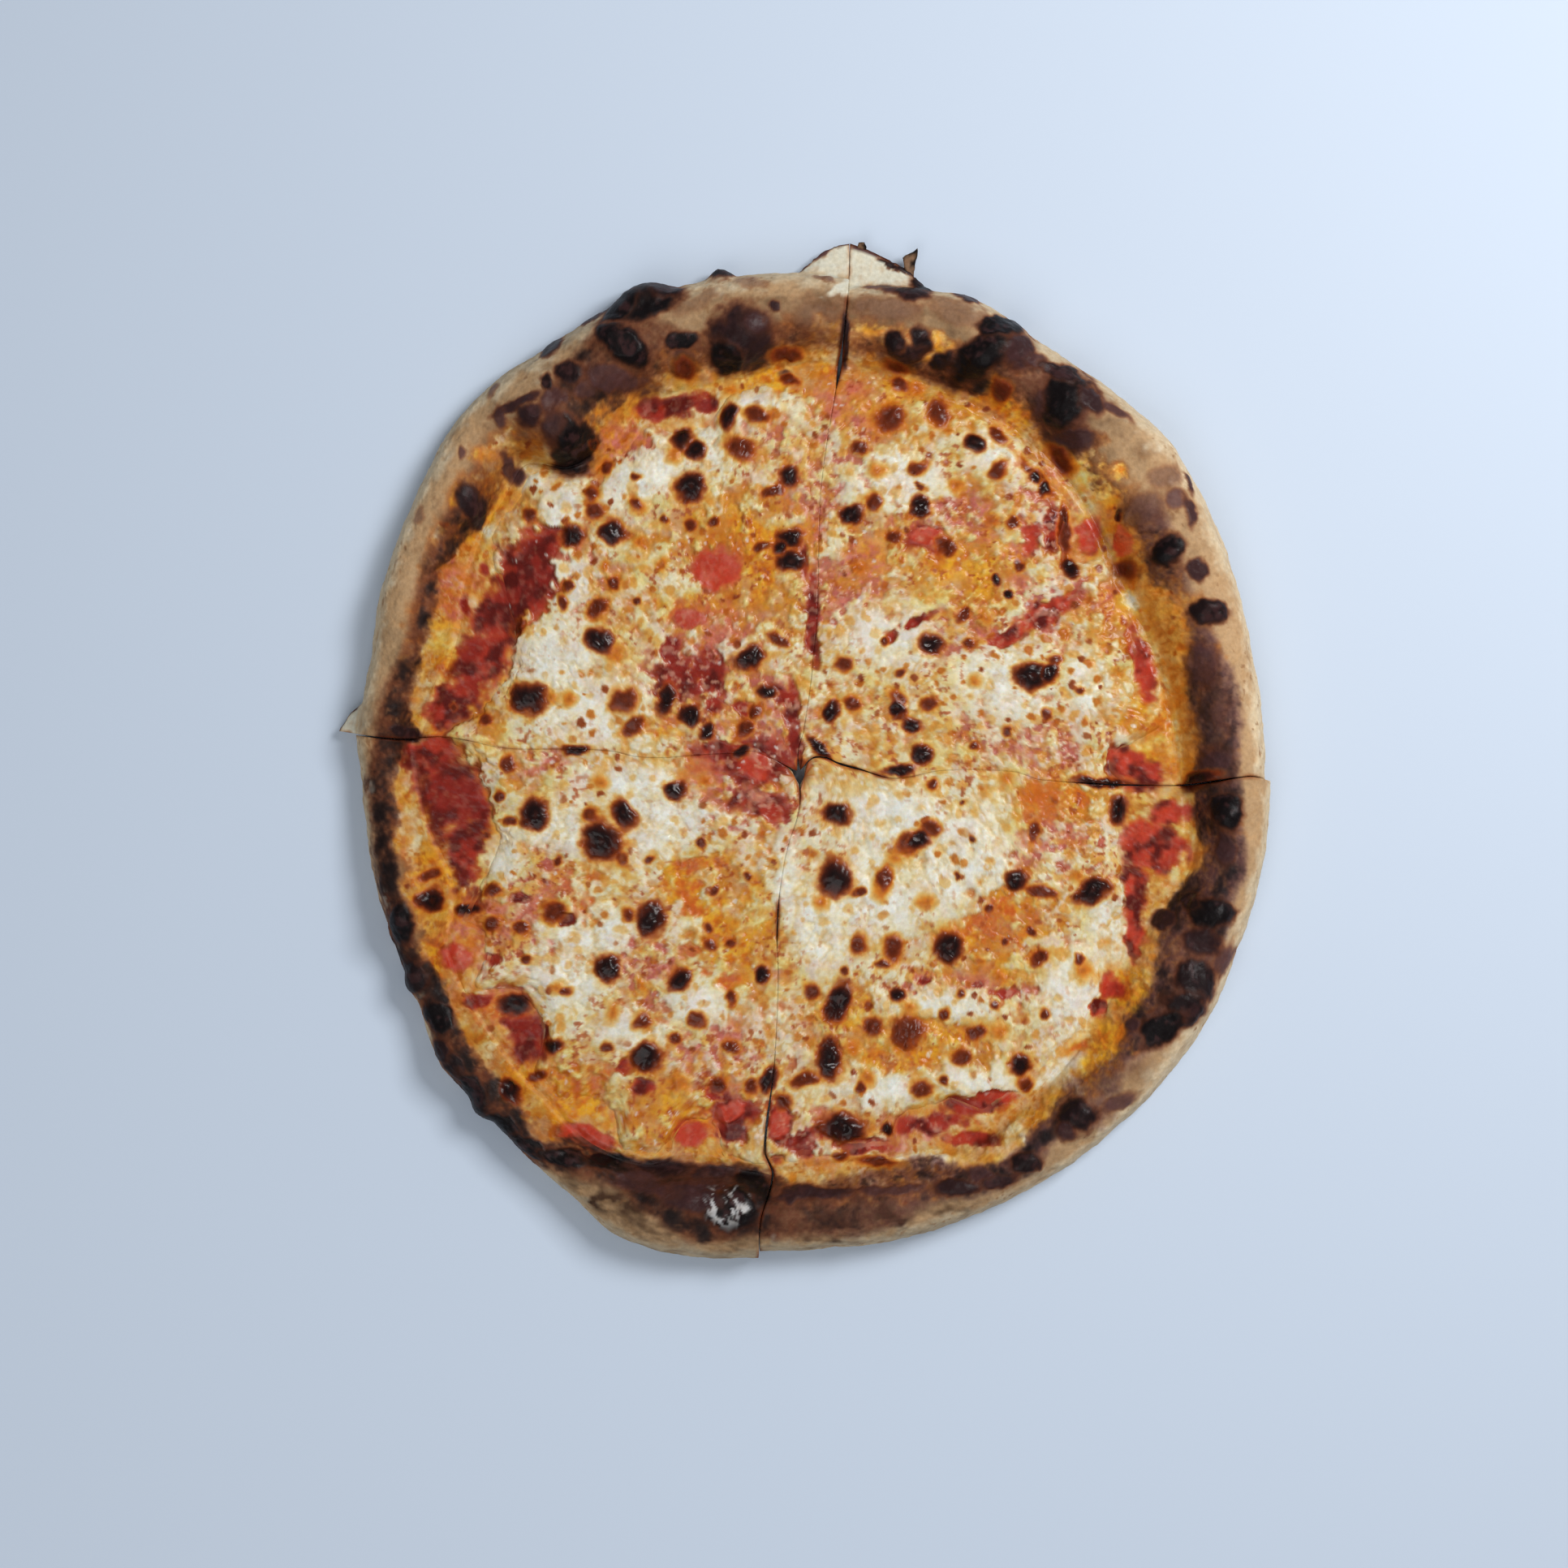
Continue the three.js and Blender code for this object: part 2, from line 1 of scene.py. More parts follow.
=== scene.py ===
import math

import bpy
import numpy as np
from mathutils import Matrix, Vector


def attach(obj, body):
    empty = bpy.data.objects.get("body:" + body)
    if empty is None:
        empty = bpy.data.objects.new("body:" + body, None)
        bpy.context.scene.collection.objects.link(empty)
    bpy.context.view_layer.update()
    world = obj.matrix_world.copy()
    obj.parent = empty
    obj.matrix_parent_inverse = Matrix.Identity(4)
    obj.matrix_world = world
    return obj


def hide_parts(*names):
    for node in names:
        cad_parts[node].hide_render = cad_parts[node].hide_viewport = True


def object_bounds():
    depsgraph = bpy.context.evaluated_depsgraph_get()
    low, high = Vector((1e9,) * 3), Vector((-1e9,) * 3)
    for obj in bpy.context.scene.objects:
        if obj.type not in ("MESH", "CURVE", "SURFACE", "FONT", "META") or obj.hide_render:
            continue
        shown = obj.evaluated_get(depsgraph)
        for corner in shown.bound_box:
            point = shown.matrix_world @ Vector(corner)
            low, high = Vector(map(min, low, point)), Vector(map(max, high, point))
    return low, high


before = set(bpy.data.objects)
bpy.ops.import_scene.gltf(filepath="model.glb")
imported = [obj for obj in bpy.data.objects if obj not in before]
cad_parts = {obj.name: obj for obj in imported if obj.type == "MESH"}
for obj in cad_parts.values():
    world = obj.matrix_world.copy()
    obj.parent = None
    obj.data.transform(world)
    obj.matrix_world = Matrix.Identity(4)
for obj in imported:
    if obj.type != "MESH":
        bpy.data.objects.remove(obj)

# A cheese pizza, cut in four, seen from straight above. Every slice has a crust, a sauce and a cheese. Each
# is a dense mesh over the plain solid's own form, with the relief and the colours of the baked surface.
#
# Lengths are millimetres in the frame's axes until a mesh is made, but metres for the floor, lamps and
# camera. Angles are in degrees about the cut centre, anticlockwise from +X. Places of spots are pixels of the
# photograph, read off it.

CAD_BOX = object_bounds()
MM = 0.001

# ---- The pizza's plan, as in the plain solids ----

CUT_CENTRE = (-1.36, -6.76)
TIP_RADIUS = 1.4
DOUGH_THICKNESS = 3.2
LAP_HEIGHT = 1.4
LAP_START = 0.93
SAUCE_THICKNESS = 1.4
SAUCE_EDGE_THICKNESS = 0.5
CHEESE_THICKNESS = 2.2
CHEESE_INSET = 1.6
LAYER_GAP = 0.3
BELOW_GAP = 0.05  # between a layer's underside and the layer under it
RIM_BASE_HEIGHT = 6
RIM_HEIGHT_PER_WIDTH = 0.42
RIM_LIFT = 0.05
FLAP_EDGE_HEIGHT = 3.6
HEEL_HEIGHT = 1.5
HEEL_INSET = 0.8
FOOT_INSET = 3

RIM_PROFILE = [
    (0, 0), (0.05, 0.07), (0.15, 0.4), (0.3, 0.77), (0.44, 0.95), (0.56, 1), (0.7, 0.97), (0.82, 0.85),
    (0.92, 0.62), (1, 0.12),
]
RIM_LUMPS = [(5, 20, 0.5), (9, 130, 0.6), (14, 250, 0.55), (23, 80, 0.5)]  # waves: number, phase, share

# How the layers meet at their edges
CHEESE_TAPER = [(0, -0.3), (2, 0.12), (5, 0.58), (9, 1)]  # its thin edge sinks into the sauce
SAUCE_SHORE = 3  # the sauce thins out over this width at its edge
SAUCE_EDGE_DIP = -0.15  # the share of its thickness at the very edge, which dips under the dough's surface
EDGE_SINK = -0.4  # its underside against the dough's surface at the edge
SAUCE_SHOWS_FROM = 3  # how far under the cheese the fine rows of the sauce begin
SHORE_END = 0.985  # where they end, as a share of the way from there to the sauce's edge
CHEESE_SINK = -2  # the cheese's underside against the sauce's surface at the edge
CHEESE_SETTLING = -0.45  # brings the mean of its relief down to the plain solid's surface
DEEPEST_HOLLOW = -1.1
CRUST_ROUNDING = 0.35  # how far the edges along the widest cuts sink
CHEESE_ROUNDING = 0.6
ROUNDING_WIDTH = 0.6

CUTS = {
    "east": [
        (0, 62), (5, 56), (8, 38), (11, 17), (18, 3.5), (25, -2), (38, 1.7), (58, 0.9), (66, -1.2),
        (103, -1.6), (121, -0.2), (129, -0.7),
    ],
    "north": [
        (0, 98), (5, 95), (12, 85), (35, 83.4), (62, 85.2), (80, 85.7), (111, 84.4), (135, 84.3),
        (146, 84.6),
    ],
    "west": [
        (0, 142), (6, 147), (13.7, 152), (20, 163), (34, 171.7), (44, 173.6), (52, 172.8), (79, 174.8),
        (96, 173.8), (110, 174.9), (127, 174.6),
    ],
    "south": [
        (0, 270), (5.5, 272), (18, 261.4), (29, 260.2), (44, 262), (55, 263.9), (77, 265), (103, 264.7),
        (109, 266.2), (121, 265), (131, 265.2),
    ],
}
SLICES = {
    "ne": {
        "cuts": ("east", "north"),
        "turn": 0,
        "rim": [
            (-2, 127), (15, 128), (30, 132.2), (43, 135.5), (60, 134.7), (70, 138.2), (76, 136.6),
            (85, 134),
        ],
        "sauce": [(-2, 104), (15, 103), (30, 103), (45, 108.5), (60, 112), (85, 113)],
        "flap": [(75, 0), (76.5, 2.2), (78.3, 5.7), (81, 8.6), (85, 12.4)],
        "bare": [(2, 6, 13), (15, 5, 6), (40, 5, 8)],
    },
    "nw": {
        "cuts": ("north", "west"),
        "turn": 0,
        "rim": [
            (84, 136.7), (105, 137.1), (112, 137.3), (120, 135.3), (128, 135.3), (135, 134.2), (142, 130),
            (150, 126.8), (157, 124.4), (165, 121), (175, 121.4),
        ],
        "sauce": [
            (84, 112.5), (90, 110.7), (100, 108), (112, 108.5), (120, 104), (127, 105.2), (131, 113),
            (135, 112), (150, 106), (157, 101.4), (165, 101.4), (175, 104.5),
        ],
        "flap": [(84, 9.8), (87, 7.2), (89.3, 2.3), (90.5, 0), (170, 0), (172, 2.4), (175, 5.6)],
        "bare": [(107, 7, 6.5), (149, 7, 5), (159, 17, 13)],
    },
    "sw": {
        "cuts": ("west", "south"),
        "turn": 0,
        "rim": [
            (174, 121.8), (180, 119.3), (195, 119.3), (210, 120.7), (219, 125.8), (225, 125.5),
            (240, 129.8), (248, 134.6), (255, 135.1), (266, 131.8),
        ],
        "sauce": [
            (174, 106.3), (187, 103), (195, 99.7), (200, 100.8), (206, 107.4), (217, 109.6), (232, 113),
            (240, 116), (248, 115), (255, 109.6), (266, 109.6),
        ],
        "flap": [(174, 0), (266, 0)],
        "bare": [(186, 17, 15), (208, 5, 7), (221, 8, 10), (239, 6, 8), (254, 5, 8)],
    },
    "se": {
        "cuts": ("south", "east"),
        "turn": 360,
        "rim": [
            (264, 130.7), (270, 129.5), (285, 129.3), (315, 129.3), (330, 129.7), (338, 128.6),
            (361, 128.5),
        ],
        "sauce": [
            (264, 109.6), (277, 107.4), (292, 109.6), (300, 109.6), (315, 106.3), (330, 102.3), (337, 103),
            (345, 108.5), (352, 108.5), (361, 105.2),
        ],
        "flap": [(264, 0), (361, 0)],
        "bare": [(291, 8, 10), (333, 9, 5), (351, 15, 17)],
    },
}

# How far apart two slices lie at a cut: radius, gap
CUT_GAPS = {
    "east": [
        (0, 0.25), (4, 0.3), (9, 0.7), (16, 0.5), (22, 0.15), (28, 0.05), (70, 0.05), (82, 0.4), (92, 0.4),
        (98, 0.1), (106, 0.4), (112, 0.6), (120, 0.25), (130, 0.2),
    ],
    "north": [
        (0, 0.2), (4, 0.25), (8, 0.1), (14, 0.04), (102, 0.04), (106, 0.15), (109.5, 0.9), (113, 1),
        (117, 0.5), (120, 0.25), (128, 0.2), (130.5, 0.03), (134, 0.03), (137, 0.15), (146, 0.15),
    ],
    "west": [(0, 0.2), (4, 0.25), (8, 0.06), (14, 0.04), (96, 0.04), (104, 0.15), (112, 0.4), (127, 0.3)],
    "south": [
        (0, 0.25), (4, 0.3), (8, 0.12), (14, 0.05), (32, 0.05), (38, 0.35), (43, 0.35), (49, 0.07),
        (74, 0.07), (86, 0.3), (92, 0.6), (104, 0.7), (110, 0.6), (118, 0.25), (131, 0.2),
    ],
}

# The flap's nicked edge and the cheese's wandering edge follow noise read along circles of these radii
FLAP_RING = 140
NICK_DEPTH = 1.1
DEEPEST_NICK = 0.6
EDGE_RING = 30
EDGE_WANDER = 1.3
LEAST_INSET = 0.6  # from the sauce's edge to the cheese's

# ---- How the meshes are made ----

COLUMNS = 384  # across a slice where the surface shows; coarser bands divide it
CHEESE_ROW = 0.45  # distance between rows of the cheese
RIM_ROWS = 84
WALL_ROWS = 36
OUTER_ROWS = 57  # of the cheese, from FIELD_END to its edge
INNER_RADII = [2.6, 4.2, 6.5, 9, 12, 15, 19, 24]  # of the rows near the tip
FIELD_END = 80  # rows lie on circles up to this radius, and follow the slice's edge beyond it
FIRST_RADIUS = 100  # a row's radius depends on the angle, and the angle on the radius, so both are found
SETTLING_STEPS = 4  # step by step from here
TINY = 1e-9
# Zones of rows: hidden by a layer, the lap under the sauce's edge, the top, the outer wall, the underside
HIDDEN, LAP, TOP, WALL, UNDERSIDE = range(5)

# ---- The photograph's scale ----

PHOTO_SCALE = 330 / 1490  # the plate is taken as 330 mm wide
CUT_PIXEL = (985, 955)  # the cut centre in the photograph


def spot(px, py):
    """Where a pixel of the photograph lies"""
    east, north = px - CUT_PIXEL[0], CUT_PIXEL[1] - py
    return CUT_CENTRE[0] + east * PHOTO_SCALE, CUT_CENTRE[1] + north * PHOTO_SCALE


# ---- Colours: sRGB, as the photograph shows them ----


def linear(rgb):
    c = np.array(rgb, float) / 255
    return np.where(c <= 0.04045, c / 12.92, ((c + 0.055) / 1.055) ** 2.4)


CREAM = linear((220, 211, 180))
WHITE = linear((226, 226, 218))
BUTTER = linear((214, 196, 128))
ROSE = linear((206, 172, 158))
PEACH = linear((188, 144, 100))
AMBER = linear((198, 132, 44))
YELLOW = linear((214, 154, 38))
ORANGE = linear((194, 100, 18))
RUST = linear((132, 50, 13))
BRIGHT_TOMATO = linear((182, 58, 38))
TOMATO = linear((126, 33, 25))
DARK_TOMATO = linear((84, 20, 15))
PINK = linear((194, 112, 98))
STRING = linear((204, 146, 124))
BROWN = linear((64, 22, 12))
BLACK = linear((22, 9, 9))
CHAR = linear((14, 8, 9))
PURPLE_BROWN = linear((76, 46, 46))
REDDISH_BROWN = linear((88, 44, 26))
DOUGH_TAN = linear((190, 154, 114))
DOUGH_PALE = linear((228, 208, 174))
DOUGH_BROWN = linear((132, 92, 60))
DOUGH_GREY = linear((68, 46, 32))
CRUMB = linear((214, 209, 190))
ASH_AND_GLINT = linear((206, 204, 204))
FLOUR = linear((216, 204, 186))

# ---- Noise ----

TABLE = 64  # the noise repeats after this many cells
rng = np.random.default_rng(18)
VALUES = rng.uniform(-1, 1, (TABLE, TABLE, TABLE)).astype(np.float32)
CELL_X, CELL_Y, CELL_ID = rng.random((3, TABLE, TABLE)).astype(np.float32)
SEED_STEPS = (7.31, 3.17, 5.03)  # how far a seed moves the noise
OCTAVE_SEED_STEP = 11

# Size in millimetres, seed, octaves, and the share of each octave that the next one keeps
NOISES = {
    "flap nicks": (2, 73, 3, 0.6), "cheese edge": (2.2, 5, 3, 0.6), "ragged": (2.8, 6, 3, 0.6),
    "shift x": (5, 1, 2), "small shift x": (1.8, 2, 2), "shift y": (5, 3, 2), "small shift y": (1.8, 4, 2),
    "broad": (13, 21, 2), "lumpy": (4.4, 22, 3, 0.6), "fine": (1.5, 23, 2, 0.7), "mottle": (2.6, 29, 3, 0.7),
    "tomato depth": (4, 26, 3, 0.6), "rosy": (3.6, 37, 3, 0.6), "yellowish": (2.6, 38, 3, 0.6),
    "pits": (1.1, 39, 2), "strands": (3.4, 65, 3, 0.6), "pulp relief": (2.6, 32, 3, 0.6), "swell": (9, 51, 2),
    "cut line": (4, 9, 2), "rim broad": (15, 41, 3, 0.55), "rim lumpy": (4.5, 42, 3, 0.6),
    "rim fine": (1.5, 43, 3, 0.6), "rim grain": (1.1, 67, 2, 0.7), "rim streaks": (3, 57, 3, 0.6),
    "ring": (4, 48, 3), "char edge": (1.6, 43, 3, 0.6), "char shade": (3, 49, 3),
    "char grain": (1.4, 56, 2, 0.7), "flap edge": (2.5, 71, 3), "scrap shift x": (1.4, 81, 2),
    "scrap shift y": (1.4, 82, 2), "scrap shift z": (1.4, 83, 2), "scrap char": (1.5, 84, 2),
}
# The noise's value where a patch begins and where it is full, then the same as above
PATCHES = {
    "streak": (0, 0.35, 2.2, 30, 3, 0.6), "rust": (-0.4, 0.3, 3, 24, 2), "oil": (-0.6, 0.2, 6, 35, 2),
    "blush": (0, 0.5, 7, 25, 2), "bright tomato": (-0.2, 0.4, 9, 59, 2), "pulp": (0.1, 0.5, 1.3, 27, 2),
    "curd": (0.1, 0.5, 2.6, 33, 2), "curd area": (-0.2, 0.3, 7, 34, 1), "crease area": (-0.4, 0.3, 6, 50, 2),
    "amber": (0.1, 0.5, 3.2, 28, 3, 0.6), "speckle area": (-0.3, 0.3, 18, 36, 2),
    "pit area": (-0.15, 0.35, 5, 40, 2), "strand area": (-0.4, 0.1, 7, 66, 1),
    "glint area": (-0.1, 0.3, 9, 68, 2), "sheen": (0.1, 0.45, 1.2, 8, 2), "rim speck": (0.3, 0.6, 1.3, 45, 2),
    "rim speck area": (-0.1, 0.4, 8, 46, 2), "rim flour": (0.2, 0.6, 3.5, 47, 3, 0.7),
    "ash_and_glint": (0.02, 0.3, 1.6, 55, 3, 0.7),
    "toasted crumb": (0.1, 0.5, 2, 72, 2), "toasted base": (-0.1, 0.5, 12, 61, 3, 0.6),
    "burnt base": (0.22, 0.5, 8, 62, 3, 0.6), "floured base": (0.1, 0.6, 3, 63, 3, 0.7),
}
# Small dots: millimetres from one to the next, radius of the largest, share of the cells that have one, seed
DOTS = {
    "amber": (5.2, 1.9, 0.5, 11), "orange": (6.4, 1.4, 0.7, 13), "rust": (8.4, 1.2, 0.7, 15),
    "glint": (3.4, 0.62, 0.4, 19),
}
CURDS = (2.8, 17)  # melted shreds of cheese: size in millimetres, seed


def smooth(low, high, x):
    """A smooth step from 0 at low to 1 at high"""
    u = np.clip((x - low) / (high - low), 0, 1)
    return u * u * (3 - 2 * u)


def noise3(points, size, seed):
    """Random values from -1 to 1 at the corners of cells of this size, smoothly joined"""
    q = points / size + seed * np.array(SEED_STEPS)
    cell = np.floor(q).astype(int)
    f = q - cell
    f = f * f * (3 - 2 * f)
    x0, y0, z0 = (cell % TABLE).T
    x1, y1, z1 = ((cell + 1) % TABLE).T
    fx, fy, fz = f.T

    def line(y, z):
        return VALUES[x0, y, z] * (1 - fx) + VALUES[x1, y, z] * fx

    near = line(y0, z0) * (1 - fy) + line(y1, z0) * fy
    far = line(y0, z1) * (1 - fy) + line(y1, z1) * fy
    return near * (1 - fz) + far * fz


def fbm3(points, size, seed, octaves=3, rough=0.5):
    """Noise in octaves, each half the size of the one before"""
    total, share, most = 0, 1, 0
    for k in range(octaves):
        total = total + share * noise3(points, size / 2**k, seed + OCTAVE_SEED_STEP * k)
        most += share
        share *= rough
    return total / most


def noise(points, kind):
    """One of the named noises"""
    return fbm3(points, *NOISES[kind])


def patches(points, kind):
    """How much each point lies in one of the named kinds of patches"""
    low, high, *grain = PATCHES[kind]
    return smooth(low, high, fbm3(points, *grain))


def ring_noise(angle, radius, kind):
    """Noise along a circle about the cut centre"""
    turned = np.radians(angle)
    ring = np.stack([radius * np.cos(turned), radius * np.sin(turned), 0 * turned], -1).reshape(-1, 3)
    return noise(ring, kind).reshape(np.shape(angle))


def cells(x, y, size, seed):
    """Distances to the nearest and second nearest of the points scattered one to a cell, and the nearest's
    own random number"""
    qx, qy = x / size + seed * 2.7, y / size + seed * 4.9
    ix, iy = np.floor(qx).astype(int), np.floor(qy).astype(int)
    first = np.full(x.shape, 9.0)
    second = first.copy()
    own = np.zeros(x.shape)
    for dx in (-1, 0, 1):
        for dy in (-1, 0, 1):
            jx, jy = (ix + dx) % TABLE, (iy + dy) % TABLE
            away = np.hypot(ix + dx + CELL_X[jx, jy] - qx, iy + dy + CELL_Y[jx, jy] - qy)
            nearer = away < first
            second = np.where(nearer, first, np.minimum(second, away))
            own = np.where(nearer, CELL_ID[jx, jy], own)
            first = np.minimum(first, away)
    return first * size, second * size, own


def shades(own, step):
    """Another random number for each cell"""
    return np.modf(own * step)[0]


# ---- Curves and radii ----


def through(pairs, x):
    """Smooth curve through the pairs, flat beyond the ends"""
    xs, ys = np.array(pairs, float).T
    slopes = np.gradient(ys)
    slopes[1:-1] = (ys[2:] - ys[:-2]) / (xs[2:] - xs[:-2])
    slopes[0] = (ys[1] - ys[0]) / (xs[1] - xs[0])
    slopes[-1] = (ys[-1] - ys[-2]) / (xs[-1] - xs[-2])
    x = np.clip(x, xs[0], xs[-1])
    i = np.clip(np.searchsorted(xs, x) - 1, 0, len(xs) - 2)
    width = xs[i + 1] - xs[i]
    u = (x - xs[i]) / width
    bend = width * u * (1 - u) * (slopes[i] * (1 - u) - slopes[i + 1] * u)
    return ys[i] + (ys[i + 1] - ys[i]) * u * u * (3 - 2 * u) + bend


def mix(a, b, share):
    return a + (b - a) * share


def through_rows(rows, stops):
    """Straight runs from stop to stop, one for each whole number of rows"""
    total = stops[0] + 0 * rows
    for k in range(len(stops) - 1):
        total = total + (stops[k + 1] - stops[k]) * np.clip(rows - k, 0, 1)
    return total


def rim_radius(slice_, angle):
    return through(slice_["rim"], angle)


def sauce_radius(slice_, angle):
    return through(slice_["sauce"], angle)


def edge_radius(slice_, angle):
    """The rim's edge with the torn flap"""
    return rim_radius(slice_, angle) + np.maximum(through(slice_["flap"], angle), 0)


def torn_edge_radius(slice_, angle):
    """The same, with the flap's edge nicked"""
    nick = NICK_DEPTH * ring_noise(angle, FLAP_RING, "flap nicks")
    flap = np.clip(through(slice_["flap"], angle), 0, 1)
    return edge_radius(slice_, angle) + flap * np.clip(nick, -DEEPEST_NICK, 0)


def cheese_radius(slice_, angle):
    """The cheese's edge, which lies further in where the sauce is bare"""
    short = np.zeros(np.shape(angle))
    for middle, half, depth in slice_["bare"]:
        away = np.minimum(np.abs(angle - middle) / half, 1)
        short = np.maximum(short, depth * (1 - away**3) ** 2)
    return sauce_radius(slice_, angle) - CHEESE_INSET - short


def ragged_cheese_radius(slice_, angle):
    wander = EDGE_WANDER * ring_noise(angle, EDGE_RING, "cheese edge")
    return np.minimum(cheese_radius(slice_, angle) + wander, sauce_radius(slice_, angle) - LEAST_INSET)


def cut_angles(slice_, radius):
    """The angles of a slice's two cut faces"""
    first, second = slice_["cuts"]
    opening = np.degrees(through(CUT_GAPS[first], radius) / 2 / radius)
    closing = np.degrees(through(CUT_GAPS[second], radius) / 2 / radius)
    return through(CUTS[first], radius) + opening, through(CUTS[second], radius) + slice_["turn"] - closing


def angle_across(slice_, share, radius):
    return mix(*cut_angles(slice_, radius), share)


def plan(angle, radius):
    turned = np.radians(angle)
    return CUT_CENTRE[0] + radius * np.cos(turned), CUT_CENTRE[1] + radius * np.sin(turned)


def turned_towards(angle, middle):
    """1 where an angle is the middle one, 0 at right angles to it, and below 0 on the far side"""
    return np.cos(np.radians(angle - middle))


# ---- Heights ----


def lumps(angle):
    return sum(share * np.sin(np.radians(number * angle + phase)) for number, phase, share in RIM_LUMPS)


def climb(slice_, angle, radius):
    """How far up the lap at the foot of the rim"""
    return np.clip((radius / sauce_radius(slice_, angle) - LAP_START) / (1 - LAP_START), 0, 1)


def dough_top(slice_, angle, radius):
    return DOUGH_THICKNESS + LAP_HEIGHT * climb(slice_, angle, radius)


def rim_top(slice_, angle, share):
    width = rim_radius(slice_, angle) - sauce_radius(slice_, angle)
    height = (RIM_BASE_HEIGHT + RIM_HEIGHT_PER_WIDTH * width) * (1 + RIM_LIFT * lumps(angle))
    foot = DOUGH_THICKNESS + LAP_HEIGHT
    return foot + (height - foot) * through(RIM_PROFILE, share)


def shore_share(slice_, angle, radius):
    """0 at the sauce's edge and 1 where it has its full thickness"""
    return smooth(0, SAUCE_SHORE, sauce_radius(slice_, angle) - radius)


def sauce_top(slice_, angle, radius):
    layer = LAYER_GAP + mix(SAUCE_THICKNESS, SAUCE_EDGE_THICKNESS, climb(slice_, angle, radius))
    share = mix(SAUCE_EDGE_DIP, 1, shore_share(slice_, angle, radius))
    return dough_top(slice_, angle, radius) + layer * share


def cheese_top(slice_, angle, radius, edge):
    taper = through(CHEESE_TAPER, np.maximum(edge - radius, 0))
    return sauce_top(slice_, angle, radius) + taper * (LAYER_GAP + CHEESE_THICKNESS)


# ---- Meshes: bands of rows across a slice ----


class Band:
    """Rows across a slice, each with the same number of columns. rows is a column of each row's own number,
    radius_at(angle, rows) gives the radii, and height_at(angle, radius, rows) the heights."""

    def __init__(self, slice_, columns, rows, radius_at, height_at, zone):
        rows = np.asarray(rows, float)[:, None]
        share = np.linspace(0, 1, columns + 1)[None, :] + 0 * rows
        angle = angle_across(slice_, share, FIRST_RADIUS + 0 * share)
        for _ in range(SETTLING_STEPS):
            radius = radius_at(angle, rows)
            angle = angle_across(slice_, share, radius)
        radius = radius_at(angle, rows)
        angle = angle_across(slice_, share, radius)
        x, y = plan(angle, radius)
        self.grid = {
            "x": x, "y": y, "z": height_at(angle, radius, rows), "angle": angle, "radius": radius,
            "share": share, "row": rows + 0 * share, "zone": 0 * share + zone,
        }


def strip(near, far):
    """Triangles between two rows of vertices, where one may have a multiple of the other's columns"""
    if len(near) > len(far):
        return strip(far, near)[:, [0, 2, 1]]
    if len(near) == 1:
        return np.stack([np.full(len(far) - 1, near[0]), far[:-1], far[1:]], 1)
    ratio = (len(far) - 1) // (len(near) - 1)
    half = ratio // 2
    start = np.arange(len(near) - 1) * ratio
    found = [np.stack([near[:-1], far[start + half], near[1:]], 1)]
    for k in range(ratio):
        owner = near[:-1] if k < half else near[1:]
        found.append(np.stack([owner, far[start + k], far[start + k + 1]], 1))
    return np.concatenate(found)


def chain_strip(one, other, radius):
    """Triangles between two chains of vertices that both run outwards"""
    i = j = 0
    found = []
    while i < len(one) - 1 or j < len(other) - 1:
        next_one = radius[one[i + 1]] if i < len(one) - 1 else np.inf
        next_other = radius[other[j + 1]] if j < len(other) - 1 else np.inf
        if next_one <= next_other:
            found.append((one[i], other[j], one[i + 1]))
            i += 1
        else:
            found.append((one[i], other[j], other[j + 1]))
            j += 1
    return np.array(found)


def grid_faces(index):
    """Two triangles for each square of a grid of vertices"""
    near, far = index[:-1], index[1:]
    a, b, c, d = (corner.ravel() for corner in (near[:, :-1], far[:, :-1], near[:, 1:], far[:, 1:]))
    return [np.stack([a, b, c], 1), np.stack([c, b, d], 1)]


